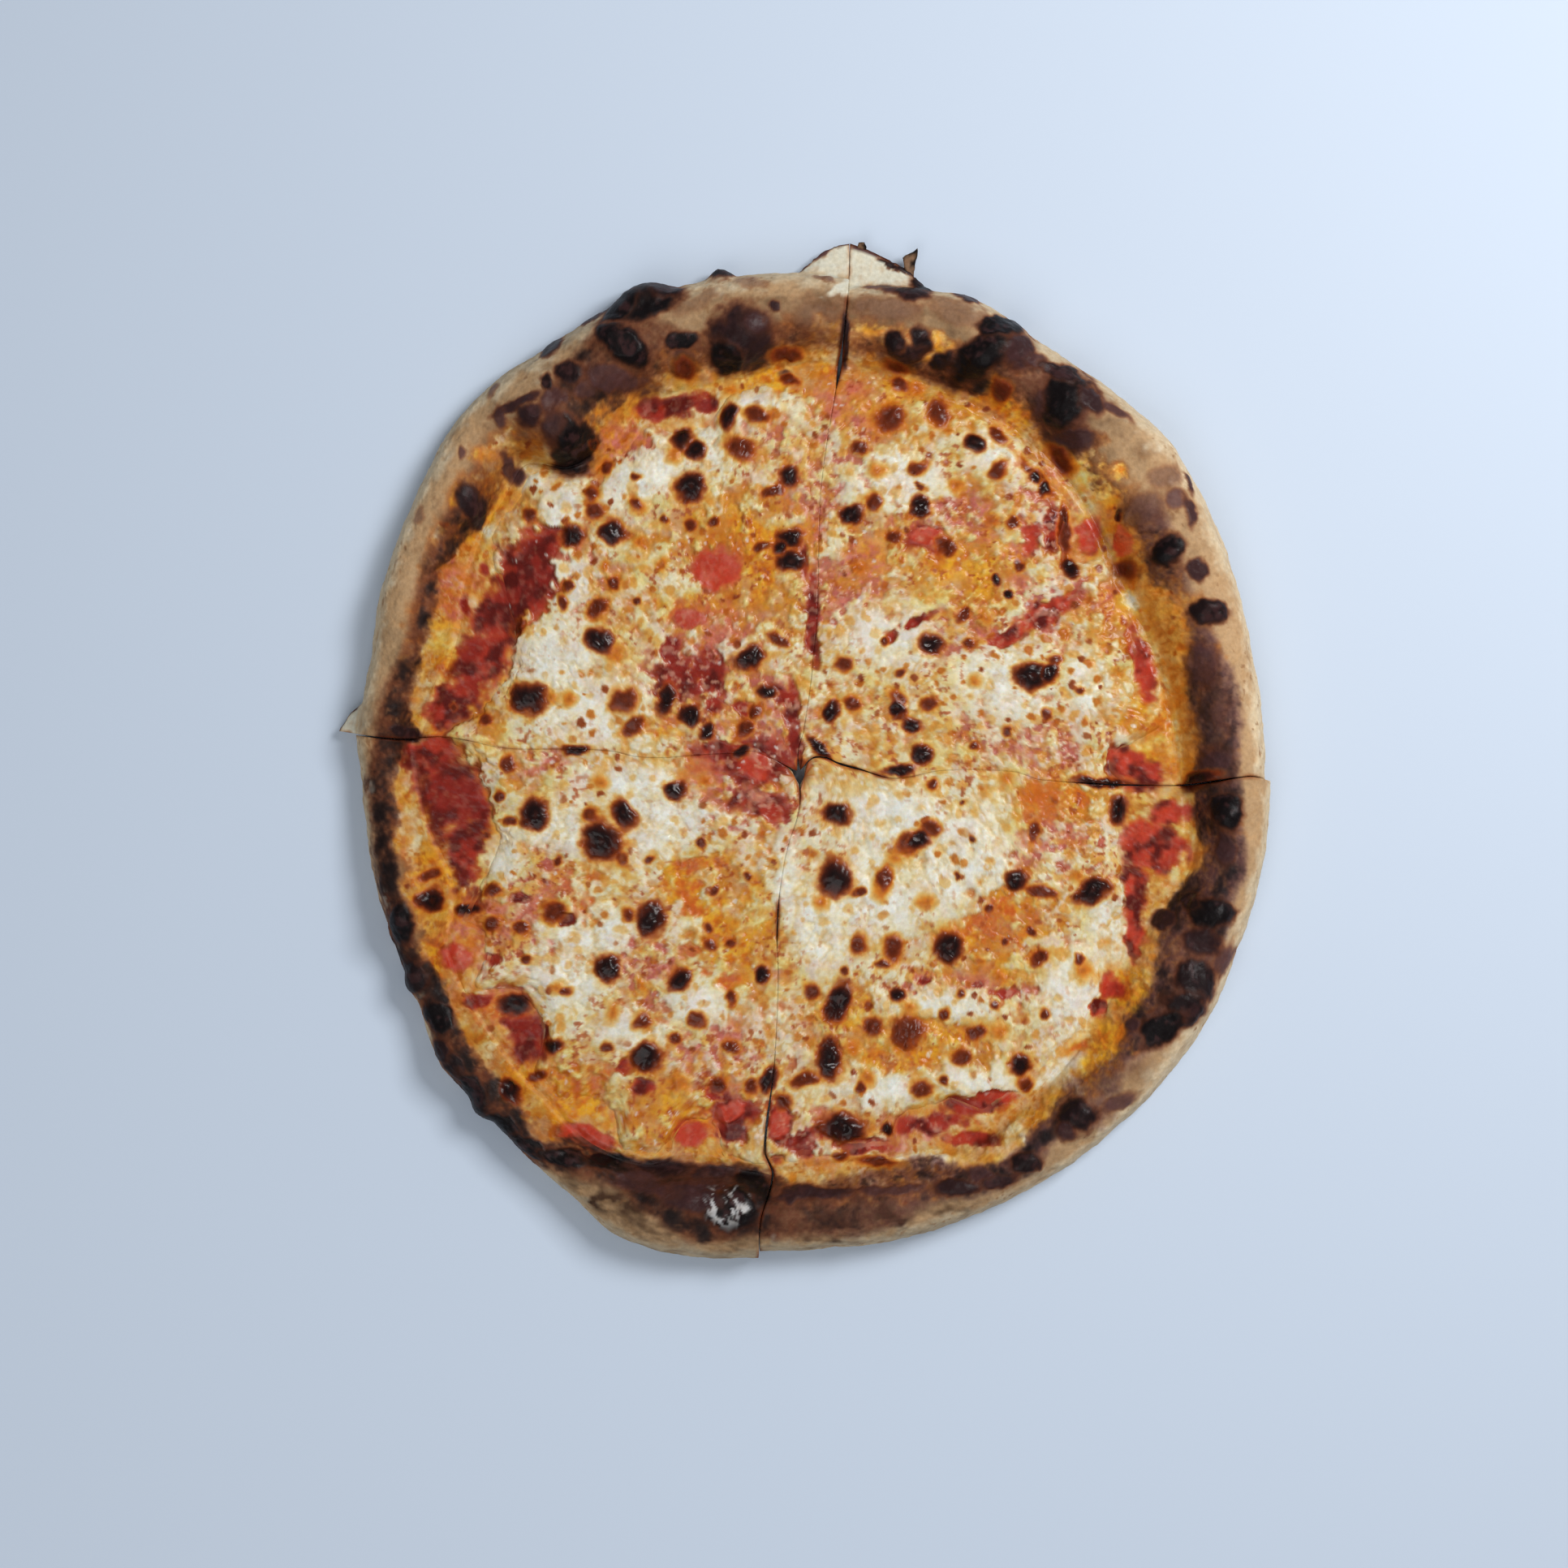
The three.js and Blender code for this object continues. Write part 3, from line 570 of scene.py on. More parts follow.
class Body:
    """A closed mesh of bands, from the tip over the top to the outer edge and back underneath to the tip"""

    def __init__(self, slice_, bands):
        self.slice = slice_
        rows, surface = [], []
        at = 0
        for band in bands:
            index = at + np.arange(band.grid["x"].size).reshape(band.grid["x"].shape)
            at += index.size
            surface.extend(grid_faces(index))
            if rows:
                surface.append(strip(rows[-1], index[0]))
            rows.extend(index)
        for key in bands[0].grid:
            setattr(self, key, np.concatenate([band.grid[key].ravel() for band in bands]))
        self.add_tips(rows, surface)
        self.surface = np.concatenate(surface)
        self.cut_faces = np.concatenate([self.cut_face(rows, end) for end in (0, -1)])

    def add_tips(self, rows, surface):
        """A point at the tip, at the top and at the bottom"""
        tips = []
        for row in (rows[0], rows[-1]):
            middle = row[len(row) // 2]
            x, y = plan(self.angle[middle], TIP_RADIUS)
            tip = {"x": x, "y": y, "radius": TIP_RADIUS}
            tip.update({key: getattr(self, key)[middle] for key in ("z", "angle", "share", "row", "zone")})
            tips.append(np.array([len(self.x)]))
            for key, value in tip.items():
                setattr(self, key, np.append(getattr(self, key), value))
        surface.append(strip(tips[0], rows[0]))
        surface.append(strip(rows[-1], tips[1]))
        rows.insert(0, tips[0])
        rows.append(tips[1])

    def cut_face(self, rows, end):
        outline = np.array([row[end] for row in rows])
        outermost = int(np.argmax(self.radius[outline]))
        over, under = outline[: outermost + 1], outline[outermost:][::-1]
        return chain_strip(*((over, under) if end == 0 else (under, over)), self.radius)

    def points(self):
        return np.stack([self.x, self.y, self.z], 1)

    def push(self, lift):
        """Moves the surface outwards, never across a cut"""
        points = self.points()
        a, b, c = (points[self.surface[:, k]] for k in range(3))
        face = np.cross(b - a, c - a)
        normal = np.zeros_like(points)
        for k in range(3):
            for axis in range(3):
                normal[:, axis] += np.bincount(self.surface[:, k], face[:, axis], len(points))
        turned = np.radians(self.angle)
        outward = normal[:, 0] * np.cos(turned) + normal[:, 1] * np.sin(turned)
        length = np.hypot(outward, normal[:, 2]) + TINY
        self.x += lift * outward / length * np.cos(turned)
        self.y += lift * outward / length * np.sin(turned)
        self.z += lift * normal[:, 2] / length

    def cut_distances(self):
        """How far each vertex lies from the slice's first and second cut"""
        low, high = cut_angles(self.slice, self.radius)
        width = np.radians(high - low) * self.radius
        return self.share * width, (1 - self.share) * width

    def round_cuts(self, depth, where):
        """Rounds the edges that the knife left, more where the slices lie further apart"""
        for name, away in zip(self.slice["cuts"], self.cut_distances()):
            gap = through(CUT_GAPS[name], self.radius)
            self.z -= where * depth * np.minimum(gap, 1) * np.exp(-((away / ROUNDING_WIDTH) ** 2))


# ---- Spots seen in the photograph: x, y, half width, half height and tilt, all but x, y and half width
# left out where the spot is round or level ----


def whole(entry):
    x, y, wide, *rest = entry
    high = rest[0] if rest else wide
    return x, y, wide, high, rest[1] if len(rest) > 1 else 0


# Burnt cheese
BLACK_BLISTERS = [
    (842, 541, 11), (857, 558, 10), (853, 601, 17), (900, 515, 9, 17), (973, 588, 13, 11, 20),
    (756, 657, 13, 14), (706, 660, 15, 12), (652, 861, 20, 18), (740, 791, 16, 13, -25),
    (922, 810, 18, 13, 30), (972, 663, 17, 12), (973, 692, 18, 12), (960, 674, 9, 8),
    (822, 864, 9, 19, -15), (852, 881, 12, 11), (912, 927, 11, 6, 20), (945, 851, 12, 9),
    (711, 925, 16, 6, 5), (870, 902, 9, 8), (1132, 624, 11, 12), (1048, 634, 14, 10, 20),
    (1199, 548, 10, 9), (1272, 590, 6, 8), (1287, 603, 7, 8), (1317, 698, 9, 15, 40), (1269, 834, 20, 14),
    (1293, 829, 12, 9, 40), (1147, 795, 13, 11), (1133, 932, 13, 11), (1024, 878, 10, 14),
    (1105, 872, 11, 8, -40), (1124, 893, 12, 9, -30), (1010, 922, 20, 6, -45), (1108, 950, 17, 7, 5),
    (742, 1036, 20, 24, 30), (769, 1003, 13, 19, 25), (660, 1002, 14, 19), (804, 1132, 17, 19),
    (750, 1193, 13, 17, 15), (836, 1208, 12, 13), (633, 1237, 21, 11, 5), (798, 1302, 16),
    (941, 1199, 8, 9), (949, 1330, 9, 16, -10), (832, 972, 14, 11, 15), (576, 1122, 14, 7),
    (532, 1109, 15, 13), (679, 1289, 13, 10), (631, 1342, 10, 14, 30), (1029, 1080, 18, 22),
    (1168, 1166, 18, 17), (1346, 1097, 20, 15, 25), (1250, 1084, 13, 12, 40), (1034, 1233, 14, 27, -25),
    (1021, 1304, 14, 25, -5), (1038, 1389, 27, 17, -5), (1033, 1003, 15, 13), (1105, 1225, 10, 8),
    (1378, 995, 11, 16), (1355, 963, 30, 6), (1476, 962, 22, 9, 15), (1094, 1391, 7, 9), (1243, 731, 5),
    (1379, 638, 6), (1228, 716, 6), (729, 547, 6), (1133, 1036, 15, 9, 40), (985, 950, 5, 13),
    (1254, 1310, 12, 11),
]
# Browned cheese
RUST_BLISTERS = [
    (936, 512, 15, 9, -15), (912, 553, 17, 12, -20), (952, 606, 16, 7, 25), (733, 630, 11, 10),
    (728, 610, 8), (654, 636, 8, 9), (853, 649, 7), (879, 643, 8, 6, 30), (785, 620, 7), (767, 862, 16, 14),
    (780, 896, 15, 10, 30), (940, 673, 10, 6, 20), (916, 896, 10, 13, -40), (931, 877, 9),
    (960, 790, 14, 7, -20), (637, 772, 9, 10), (700, 722, 6), (697, 925, 9, 5), (737, 749, 10, 14, -30),
    (693, 742, 6, 9), (758, 720, 7), (783, 739, 5), (1157, 510, 14, 17), (1097, 516, 18, 15, 30),
    (1130, 577, 9, 8), (1228, 582, 8, 11), (1075, 620, 9), (1100, 662, 9), (1168, 674, 12),
    (1247, 642, 8, 7), (1255, 697, 6, 8), (1186, 758, 9, 8), (1193, 795, 8, 7), (1038, 817, 10, 9),
    (1299, 814, 9, 8, 30), (1051, 868, 9), (1105, 861, 10, 7), (1143, 865, 12, 9, 20), (1109, 882, 7),
    (1061, 552, 12, 8), (1120, 1038, 14, 12, 30), (1148, 1021, 10, 8), (1282, 1097, 17, 7, -15),
    (1278, 1180, 12, 9, 30), (1215, 1121, 6), (1101, 1168, 10, 13), (1058, 1164, 9, 12),
    (1274, 1023, 7, 13), (1115, 1272, 19, 18), (1076, 1264, 12, 11), (1201, 1272, 10, 9),
    (1184, 1301, 12, 10), (1262, 1335, 10, 8), (1001, 1222, 10, 9), (1135, 1340, 12, 9), (1037, 1425, 9, 7),
    (990, 1331, 17, 9, 15), (876, 1162, 9, 8), (873, 1143, 5, 6), (607, 1097, 8, 7), (530, 1078, 11, 6),
    (605, 1139, 9), (641, 1143, 8), (685, 1124, 13, 11), (794, 1256, 12, 11), (859, 1256, 10, 8),
    (664, 1327, 10, 8), (884, 1334, 12, 9), (928, 1338, 9), (966, 1357, 9), (729, 1005, 10, 8),
    (767, 1059, 8), (775, 1126, 7), (626, 942, 9), (616, 982, 6), (630, 1013, 9, 5), (599, 1028, 5, 6),
    (1043, 1195, 5), (1087, 1188, 8, 5), (1236, 1160, 5), (1270, 1150, 6), (1230, 482, 11, 12),
    (1108, 455, 16, 9, -15), (1107, 475, 12, 7, -15), (901, 1287, 10, 9), (1056, 1100, 5),
    (1088, 1083, 10, 14), (1305, 565, 18, 9, -40), (1385, 702, 15, 11, -35), (971, 437, 20, 8),
    (971, 468, 12, 6), (845, 456, 12, 10), (1148, 966, 6), (1197, 1034, 4), (1187, 987, 4), (1061, 1099, 5),
    (690, 1060, 5), (1180, 1078, 4), (1135, 600, 5), (745, 575, 7, 9), (785, 590, 5), (820, 640, 5),
    (600, 885, 8, 7), (560, 870, 5), (1330, 1180, 5), (1225, 1240, 6), (1180, 1225, 6), (1160, 1250, 6),
    (1290, 1250, 6), (1060, 1340, 6), (1160, 1330, 6), (900, 1230, 7), (830, 1280, 7), (750, 1290, 6),
    (700, 1220, 6), (650, 1180, 6), (920, 1080, 5), (880, 1100, 6), (900, 1160, 6), (860, 1040, 6),
    (1312, 652, 6, 34), (1278, 590, 28, 6, -45), (1228, 538, 12, 7, -45), (1085, 1432, 26, 6, -3),
    (800, 1060, 5), (1090, 790, 6), (1110, 830, 6), (1240, 900, 6), (1200, 920, 6), (1290, 880, 6),
    (1330, 850, 6),
]
# Small orange stains
ORANGE_SPOTS = [
    (792, 670, 10, 8), (760, 804, 12), (702, 862, 8), (740, 575, 9, 14), (830, 560, 9), (789, 624, 12, 8),
    (815, 695, 9), (1213, 760, 10), (1333, 1195, 9, 12), (1148, 968, 8), (1013, 1113, 9), (757, 721, 11),
    (786, 672, 8), (746, 700, 6), (1230, 1203, 9), (1325, 1078, 9, 8), (739, 963, 9), (756, 1247, 8),
    (790, 1214, 8), (836, 1333, 12), (1068, 1329, 8), (1170, 1150, 14), (1085, 1095, 9, 14),
    (1139, 1112, 9), (1205, 1185, 9, 6), (1102, 1057, 9), (680, 860, 6), (690, 1215, 8), (1050, 1290, 10),
    (1230, 1270, 10), (1120, 1240, 10), (870, 960, 8), (1240, 960, 10), (1200, 840, 8), (1060, 700, 8),
    (1080, 580, 10), (1180, 600, 8), (1220, 640, 8), (900, 480, 9), (1130, 480, 10),
]
# Where thick cheese has stayed white
WHITE_AREAS = [
    (690, 835, 62, 70), (750, 880, 70, 44, -10), (700, 720, 30, 44), (1090, 1010, 90, 44),
    (1080, 1100, 60, 60), (1180, 1060, 70, 66), (1368, 1150, 26, 70), (1320, 1230, 50, 44),
    (690, 625, 26, 40, -20), (790, 590, 60, 30, 35), (905, 500, 60, 28), (860, 560, 50, 40),
    (1100, 590, 60, 34), (1220, 560, 30, 26), (1090, 790, 60, 44), (1240, 850, 60, 56), (690, 1020, 50, 34),
    (790, 1010, 66, 50), (730, 1150, 60, 40), (700, 1200, 70, 36), (1070, 1340, 70, 26),
    (1150, 1240, 90, 20), (1200, 1330, 50, 18), (850, 1010, 50, 26), (860, 1240, 50, 26),
    (1340, 840, 26, 40), (620, 1050, 24, 40), (780, 1270, 50, 26), (970, 1080, 14, 70),
    (1010, 1140, 34, 60), (900, 800, 26, 20), (770, 960, 60, 20), (1339, 605, 24, 36),
    (655, 592, 15, 28, 30), (600, 650, 12, 18), (1400, 740, 20, 20), (1425, 850, 14, 34),
    (1140, 1430, 60, 8), (1300, 1320, 40, 10, 35),
]
# Where oil has stained the cheese
ORANGE_AREAS = [
    (925, 680, 84, 56), (750, 515, 34, 44), (1200, 700, 80, 50), (1290, 560, 62, 22, -50),
    (900, 1130, 42, 90), (675, 1357, 66, 46), (821, 1369, 56, 35), (1299, 986, 44, 34),
    (1228, 1143, 56, 36), (1417, 884, 34, 60), (540, 1120, 40, 60), (930, 745, 60, 22),
    (1230, 480, 44, 20, -40), (1000, 470, 90, 20), (585, 625, 40, 26, 50), (1340, 620, 30, 50),
    (1400, 1270, 26, 60), (1130, 1290, 90, 30), (845, 1080, 30, 44), (860, 650, 30, 20),
    (1060, 700, 40, 40), (1370, 760, 30, 40), (840, 740, 40, 30), (1060, 1250, 50, 26),
    (1360, 1300, 40, 22, 50), (1210, 1200, 60, 16), (540, 760, 20, 80, 15), (540, 960, 14, 60),
    (1070, 500, 50, 34), (820, 900, 40, 22),
]
# Where the tomato shows
TOMATO_AREAS = [
    (643, 716, 40, 54, -25), (675, 672, 16, 20, -40), (612, 766, 28, 34, -30), (590, 812, 32, 42, -35),
    (612, 800, 16, 34, -25), (552, 870, 22, 30, -35), (575, 850, 20, 20), (598, 700, 8, 12, 20),
    (575, 745, 6, 14, 20), (835, 498, 40, 13, 10), (806, 505, 18, 12), (870, 500, 12, 10),
    (825, 800, 12, 14), (836, 838, 30, 26), (876, 832, 20, 24), (880, 868, 12, 10), (820, 850, 12, 20),
    (930, 944, 38, 30), (890, 924, 30, 12, -5), (978, 900, 8, 50), (938, 990, 42, 17, -15),
    (1003, 765, 8, 50), (990, 690, 5, 20), (915, 870, 10, 8), (960, 855, 16, 9, -40), (1339, 659, 14, 20),
    (1296, 655, 10, 26), (1310, 650, 5, 30), (1287, 757, 40, 14, 35), (1240, 785, 22, 10, 20),
    (1408, 825, 13, 40, 10), (1140, 662, 30, 15, 5), (1125, 770, 30, 8, 30), (1270, 660, 10, 20),
    (530, 936, 38, 24, -8), (558, 985, 36, 52, 15), (572, 1050, 20, 56, 8), (588, 1000, 10, 44),
    (590, 1232, 14, 10), (607, 1180, 10, 8), (653, 1281, 22, 28, -30), (640, 1260, 20, 14, -20),
    (907, 1368, 26, 16), (902, 1395, 18, 10), (959, 1385, 14, 38), (771, 1315, 9), (790, 1340, 11),
    (880, 1345, 14, 10), (700, 1133, 10, 7), (640, 1105, 12, 7), (1385, 940, 22, 20, -40),
    (1410, 958, 24, 20), (1442, 1003, 26, 16), (1404, 1040, 20, 34), (1432, 1045, 30, 28, 40),
    (1400, 1090, 16, 36), (1396, 1140, 15, 28), (1368, 1219, 16, 15), (1355, 1240, 12, 10),
    (1395, 1170, 8, 14), (1205, 1362, 42, 12, 12), (1160, 1385, 40, 10, 10), (1197, 1403, 30, 9),
    (1060, 1412, 30, 10), (1010, 1395, 14, 12), (1120, 1388, 18, 10), (990, 1410, 20, 14),
    (1225, 1350, 20, 8), (1236, 1222, 16, 7, 8), (1205, 1213, 8, 5), (1140, 1209, 9, 4),
]
# Where oil has turned everything orange
RUSTY_AREAS = [
    (1428, 880, 24, 66), (925, 672, 60, 30), (1395, 1275, 20, 50, -15), (560, 700, 20, 40),
    (545, 960, 14, 60, 15), (590, 1140, 24, 40), (745, 502, 26, 24), (650, 545, 24, 22),
    (1290, 985, 34, 26), (1350, 800, 14, 30),
]
# Pieces of tomato that stand up
TOMATO_CHUNKS = [
    (881, 700, 32, 26, 15), (850, 762, 19, 13), (724, 1401, 38, 15, -20), (562, 1180, 18, 16),
    (851, 1396, 22, 17), (1384, 665, 13, 17), (959, 1385, 13, 20), (928, 945, 22, 17),
    (1142, 662, 24, 12, 5), (1339, 659, 13, 18), (902, 1368, 20, 12, 20),
]
# Where the cheese is stained red
BLUSH_AREAS = [
    (850, 1066, 24, 10, 10), (852, 1112, 13, 44), (862, 1182, 14, 34, 20), (888, 1208, 24, 10, -10),
    (1040, 492, 20, 24), (1298, 985, 40, 20), (1335, 1030, 26, 26), (1225, 1130, 44, 34),
    (1265, 768, 60, 18, 25), (872, 772, 46, 34), (1140, 664, 40, 20), (700, 1110, 50, 40),
    (600, 1245, 26, 30, -30), (940, 990, 50, 22), (870, 940, 40, 20), (880, 1390, 60, 16),
    (1325, 1296, 26, 8, 35), (960, 520, 14, 20), (730, 1330, 30, 14, 30),
]
# Where thin cheese lies over the tomato
PINK_AREAS = [
    (1170, 1214, 70, 14, -3), (1240, 1224, 30, 14, 8), (653, 1097, 48, 34), (668, 1051, 34, 22),
    (1200, 1222, 90, 13), (1050, 730, 50, 60), (1250, 900, 80, 40), (880, 830, 90, 70), (910, 990, 74, 44),
    (640, 1180, 60, 50), (980, 1000, 16, 50), (1300, 930, 60, 30), (720, 710, 34, 50), (1300, 740, 60, 50),
    (800, 1200, 50, 50), (930, 900, 70, 60), (950, 560, 50, 40), (1040, 560, 40, 80), (900, 1300, 70, 40),
    (1290, 1040, 40, 40), (1000, 620, 30, 60), (1170, 640, 70, 30), (760, 560, 50, 34, 35),
    (1090, 1400, 80, 22), (560, 720, 26, 40), (680, 940, 60, 16), (1280, 640, 50, 60), (1190, 780, 60, 34),
    (590, 1150, 40, 30), (1360, 1040, 30, 40), (1000, 1400, 40, 30),
]
# Burnt places of the rim, and some painted shadow at the foot of the flap: half width, half height, tilt,
# then how black
RIM_CHAR = [
    (640, 503, 30, 6, 25, 0.75), (620, 520, 7, 14, 10, 0.6), (659, 518, 18, 12, 0, 0.8),
    (684, 500, 13, 20, -30, 0.62), (688, 532, 20, 20, 0, 0.75), (706, 551, 29, 34, -15, 1),
    (628, 575, 6, 18, 10, 0.65), (638, 585, 8, 10, 0, 0.7), (705, 466, 18, 12, 0, 0.95),
    (677, 479, 8, 10, 20, 0.95), (722, 484, 14, 10, 0, 0.5), (762, 472, 40, 13, -5, 0.6),
    (771, 432, 38, 19, -35, 1), (844, 427, 19, 11, 0, 1), (1090, 388, 44, 14, -5, 0.35),
    (1180, 395, 40, 14, -20, 0.3), (845, 453, 14, 12, 0, 0.8), (797, 376, 50, 24, 22, 1),
    (770, 388, 28, 12, 35, 1), (826, 364, 22, 9, 10, 0.95), (886, 340, 19, 13, 0, 1),
    (916, 420, 38, 37, 0, 0.88), (894, 441, 19, 19, 0, 1), (930, 404, 16, 12, -30, 0.5),
    (956, 385, 8, 7, 0, 0.8), (1008, 395, 36, 22, 0, 0.3), (734, 390, 20, 7, 35, 0.8),
    (682, 432, 18, 9, 45, 0.9), (612, 486, 10, 5, 50, 0.4), (573, 563, 5, 8, 20, 0.5),
    (585, 624, 15, 26, 10, 0.9), (519, 637, 8, 7, 0, 0.35), (922, 355, 16, 8, 0, 0.3),
    (968, 462, 8, 5, 0, 0.6), (1040, 420, 6, 34, -3, 0.9), (860, 380, 30, 8, 20, 0.25),
    # The band along the foot of the flap, at x 1074 to 1122 near y 360, is partly char and partly painted
    # shadow
    (1112, 362, 28, 8, -8, 0.7), (1074, 358, 14, 4, 5, 0.5), (1133, 350, 13, 16, 30, 1),
    (1122, 366, 20, 9, -6, 0.9), (1098, 327, 17, 3, -24, 0.9), (1068, 311, 18, 2, -24, 0.6),
    (1015, 313, 30, 2.5, 33, 0.6), (1020, 347, 8, 4, -30, 0.4), (1010, 343, 7, 3, 0, 0.35),
    (1118, 334, 10, 4, -20, 0.95), (1190, 371, 14, 5, -25, 0.8), (1102, 425, 11, 13, 0, 0.95),
    (1132, 425, 11, 18, 0, 0.95), (1118, 438, 20, 9, 0, 0.9), (1160, 450, 14, 10, 0, 0.95),
    (1205, 446, 40, 22, 30, 1), (1232, 410, 28, 14, 5, 1), (1254, 438, 20, 18, 0, 0.75),
    (1275, 447, 14, 8, 0, 0.6), (1232, 478, 9, 10, 0, 0.6), (1312, 495, 32, 37, 0, 1),
    (1300, 465, 24, 9, -35, 0.9), (1340, 500, 14, 20, 30, 0.8), (1318, 545, 26, 18, 0, 0.7),
    (1280, 500, 12, 20, 0, 0.5), (1370, 508, 26, 6, -38, 0.6), (1430, 595, 18, 13, 0, 0.35),
    (1462, 600, 4, 14, 20, 0.7), (1459, 636, 7, 18, 10, 0.7), (1406, 630, 24, 18, 0, 0.42),
    (1442, 620, 12, 14, 0, 0.5), (1435, 682, 22, 14, 40, 1), (1386, 702, 15, 12, -40, 0.6),
    (1467, 707, 12, 14, 0, 0.75), (1482, 757, 24, 14, 0, 0.95), (1380, 635, 6, 7, 0, 0.9),
    (1478, 820, 16, 30, 10, 0.55), (1488, 880, 18, 46, 0, 0.4), (1498, 945, 20, 24, 0, 0.65),
    (1480, 963, 24, 10, 15, 1), (1508, 998, 18, 22, 0, 1), (1505, 1048, 12, 20, 0, 0.7),
    (1486, 1123, 30, 18, -10, 1), (1466, 1112, 16, 12, 0, 0.95), (1502, 1182, 12, 20, -20, 0.6),
    (1433, 1134, 14, 10, 20, 0.85), (1475, 1160, 24, 18, 0, 0.85), (1468, 1205, 26, 26, 30, 0.95),
    (1450, 1240, 26, 22, 35, 0.95), (1425, 1264, 28, 20, 35, 1), (1395, 1262, 10, 8, 0, 0.7),
    (1323, 1368, 24, 20, 0, 0.95), (1310, 1390, 14, 10, 0, 0.7), (1376, 1352, 18, 10, 30, 0.5),
    (1262, 1427, 20, 12, 10, 0.95), (1225, 1450, 24, 10, 10, 0.85), (1175, 1460, 30, 9, 5, 0.85),
    (1205, 1440, 16, 10, 0, 0.6), (1000, 1467, 50, 8, 3, 0.8), (1100, 1462, 40, 6, 4, 0.6),
    (498, 1136, 16, 26, 0, 1), (515, 1200, 14, 22, 20, 0.95), (542, 1250, 15, 30, 30, 1),
    (565, 1312, 12, 22, 30, 0.95), (548, 1290, 10, 16, 30, 0.9), (592, 1345, 15, 30, 40, 1),
    (624, 1385, 24, 12, -40, 1), (655, 1412, 26, 12, -30, 1), (700, 1425, 34, 11, -14, 1),
    (757, 1435, 34, 12, -10, 1), (820, 1440, 40, 12, -5, 0.9), (880, 1450, 34, 14, 0, 0.85),
    (927, 1465, 24, 26, 0, 1), (900, 1488, 34, 24, 0, 1), (850, 1470, 44, 18, -5, 0.75),
    (790, 1455, 40, 12, -15, 0.6), (500, 905, 26, 8, -15, 0.9),
]
# Pale ash and painted glints on a burnt bubble
ASH_AND_GLINT_AREAS = [(890, 1484, 22, 18, -50), (915, 1492, 8, 16, -10)]
# Pale crumb where the flap has torn
TORN_AREAS = [(1034, 362, 20, 7, 25), (1048, 352, 11, 10), (1022, 341, 12, 4, -10), (1040, 368, 6, 7)]
# Bubbles of the rim that stand up: half width, half height, tilt, height in millimetres
RIM_BUBBLES = [
    (912, 422, 40, 38, 0, 3.2), (771, 431, 40, 22, -37, 2.6), (700, 545, 42, 36, 55, 2.8),
    (660, 512, 26, 18, 30, 2), (584, 624, 24, 30, 20, 1.8), (1115, 428, 26, 22, 0, 2),
    (1222, 440, 50, 30, 30, 2.8), (1318, 505, 36, 42, 20, 2.8), (1400, 640, 36, 34, 30, 2.6),
    (1434, 690, 26, 18, 35, 1.8), (1484, 754, 24, 22, 35, 1.8), (792, 366, 40, 20, 25, 3.2),
    (886, 340, 20, 16, 0, 3.4), (1490, 1125, 36, 26, 80, 2.4), (1458, 1230, 36, 34, 60, 2.6),
    (1323, 1375, 28, 26, 70, 2.2), (1262, 1430, 26, 18, 20, 1.6), (905, 1480, 38, 28, -10, 2.6),
    (720, 1440, 36, 18, -28, 1.8), (520, 1200, 18, 40, -20, 1.5), (600, 1362, 20, 36, -40, 1.6),
    (500, 1130, 18, 26, 0, 1.4), (1505, 1010, 24, 22, 90, 1.8), (1340, 430, 40, 22, -35, 1.2),
    (1000, 400, 40, 26, 0, 1.4), (536, 690, 18, 30, -15, 1.2), (505, 810, 16, 30, -10, 1.2),
    (1178, 1462, 34, 18, 5, 1.6), (1090, 1480, 40, 22, 0, 1.2), (1385, 1330, 30, 30, 0, 1.4),
    (1420, 560, 34, 26, -40, 1.4), (1500, 860, 24, 46, 0, 1.6), (860, 1480, 34, 24, 0, 1.3),
]
# The dark ring of the rim: angle, inner and outer radius, how dark
DARK_RING = [
    (0, 107, 117.5, 0.9), (6, 109, 119.5, 0.65), (12, 107.5, 119, 0.65), (18, 111, 118, 0.55),
    (24, 112, 116, 0.15), (30, 109, 118, 0.5), (36, 113.5, 120.5, 0.35), (42, 114, 117, 0),
    (48, 114, 118, 0), (54, 113, 128, 0.9), (60, 118, 129, 0.4), (66, 113.5, 130, 0.95),
    (72, 113, 117.5, 0.75), (78, 115, 120, 0.6), (84, 116, 120, 0.25), (90, 115, 122, 0.3),
    (96, 112, 122, 0.55), (102, 113, 120, 0.5), (108, 114, 129, 0.4), (114, 113, 131, 0.6),
    (120, 113, 127, 0.65), (126, 112, 121, 0.2), (132, 114, 121, 0.15), (138, 111.5, 119.5, 0.3),
    (144, 111, 118, 0.75), (150, 111.5, 116.5, 0.85), (156, 108.5, 113.5, 0.8), (162, 107, 112, 0.75),
    (168, 108, 114.5, 0.85), (174, 106, 115, 0.85), (180, 110, 117, 0.9), (186, 109.5, 116.5, 0.85),
    (192, 111.5, 117.5, 0.9), (198, 112.5, 118.5, 0.9), (204, 113.5, 120.5, 1), (210, 112.5, 119.5, 1),
    (216, 115, 122, 1), (222, 117.5, 127, 1), (228, 115, 128, 0.95), (234, 122, 128.5, 0.85),
    (240, 113, 125, 0.6), (246, 112, 122, 0.95), (252, 111, 126, 0.9), (258, 111, 129, 0.7),
    (264, 107, 125, 1), (270, 111, 125, 0.45), (276, 109.5, 125, 0.4), (282, 110, 124, 0.35),
    (288, 109, 121, 0.45), (294, 117, 123, 0.85), (300, 117, 123.5, 0.8), (306, 114.5, 120, 0.65),
    (312, 111, 125, 0.25), (318, 113, 118, 0.3), (324, 111, 122, 0.75), (330, 110, 123, 0.7),
    (336, 107, 123, 0.55), (342, 107, 121, 0.95), (348, 112, 123, 0.6), (354, 108.5, 120, 0.8),
    (360, 107, 117.5, 0.9),
]
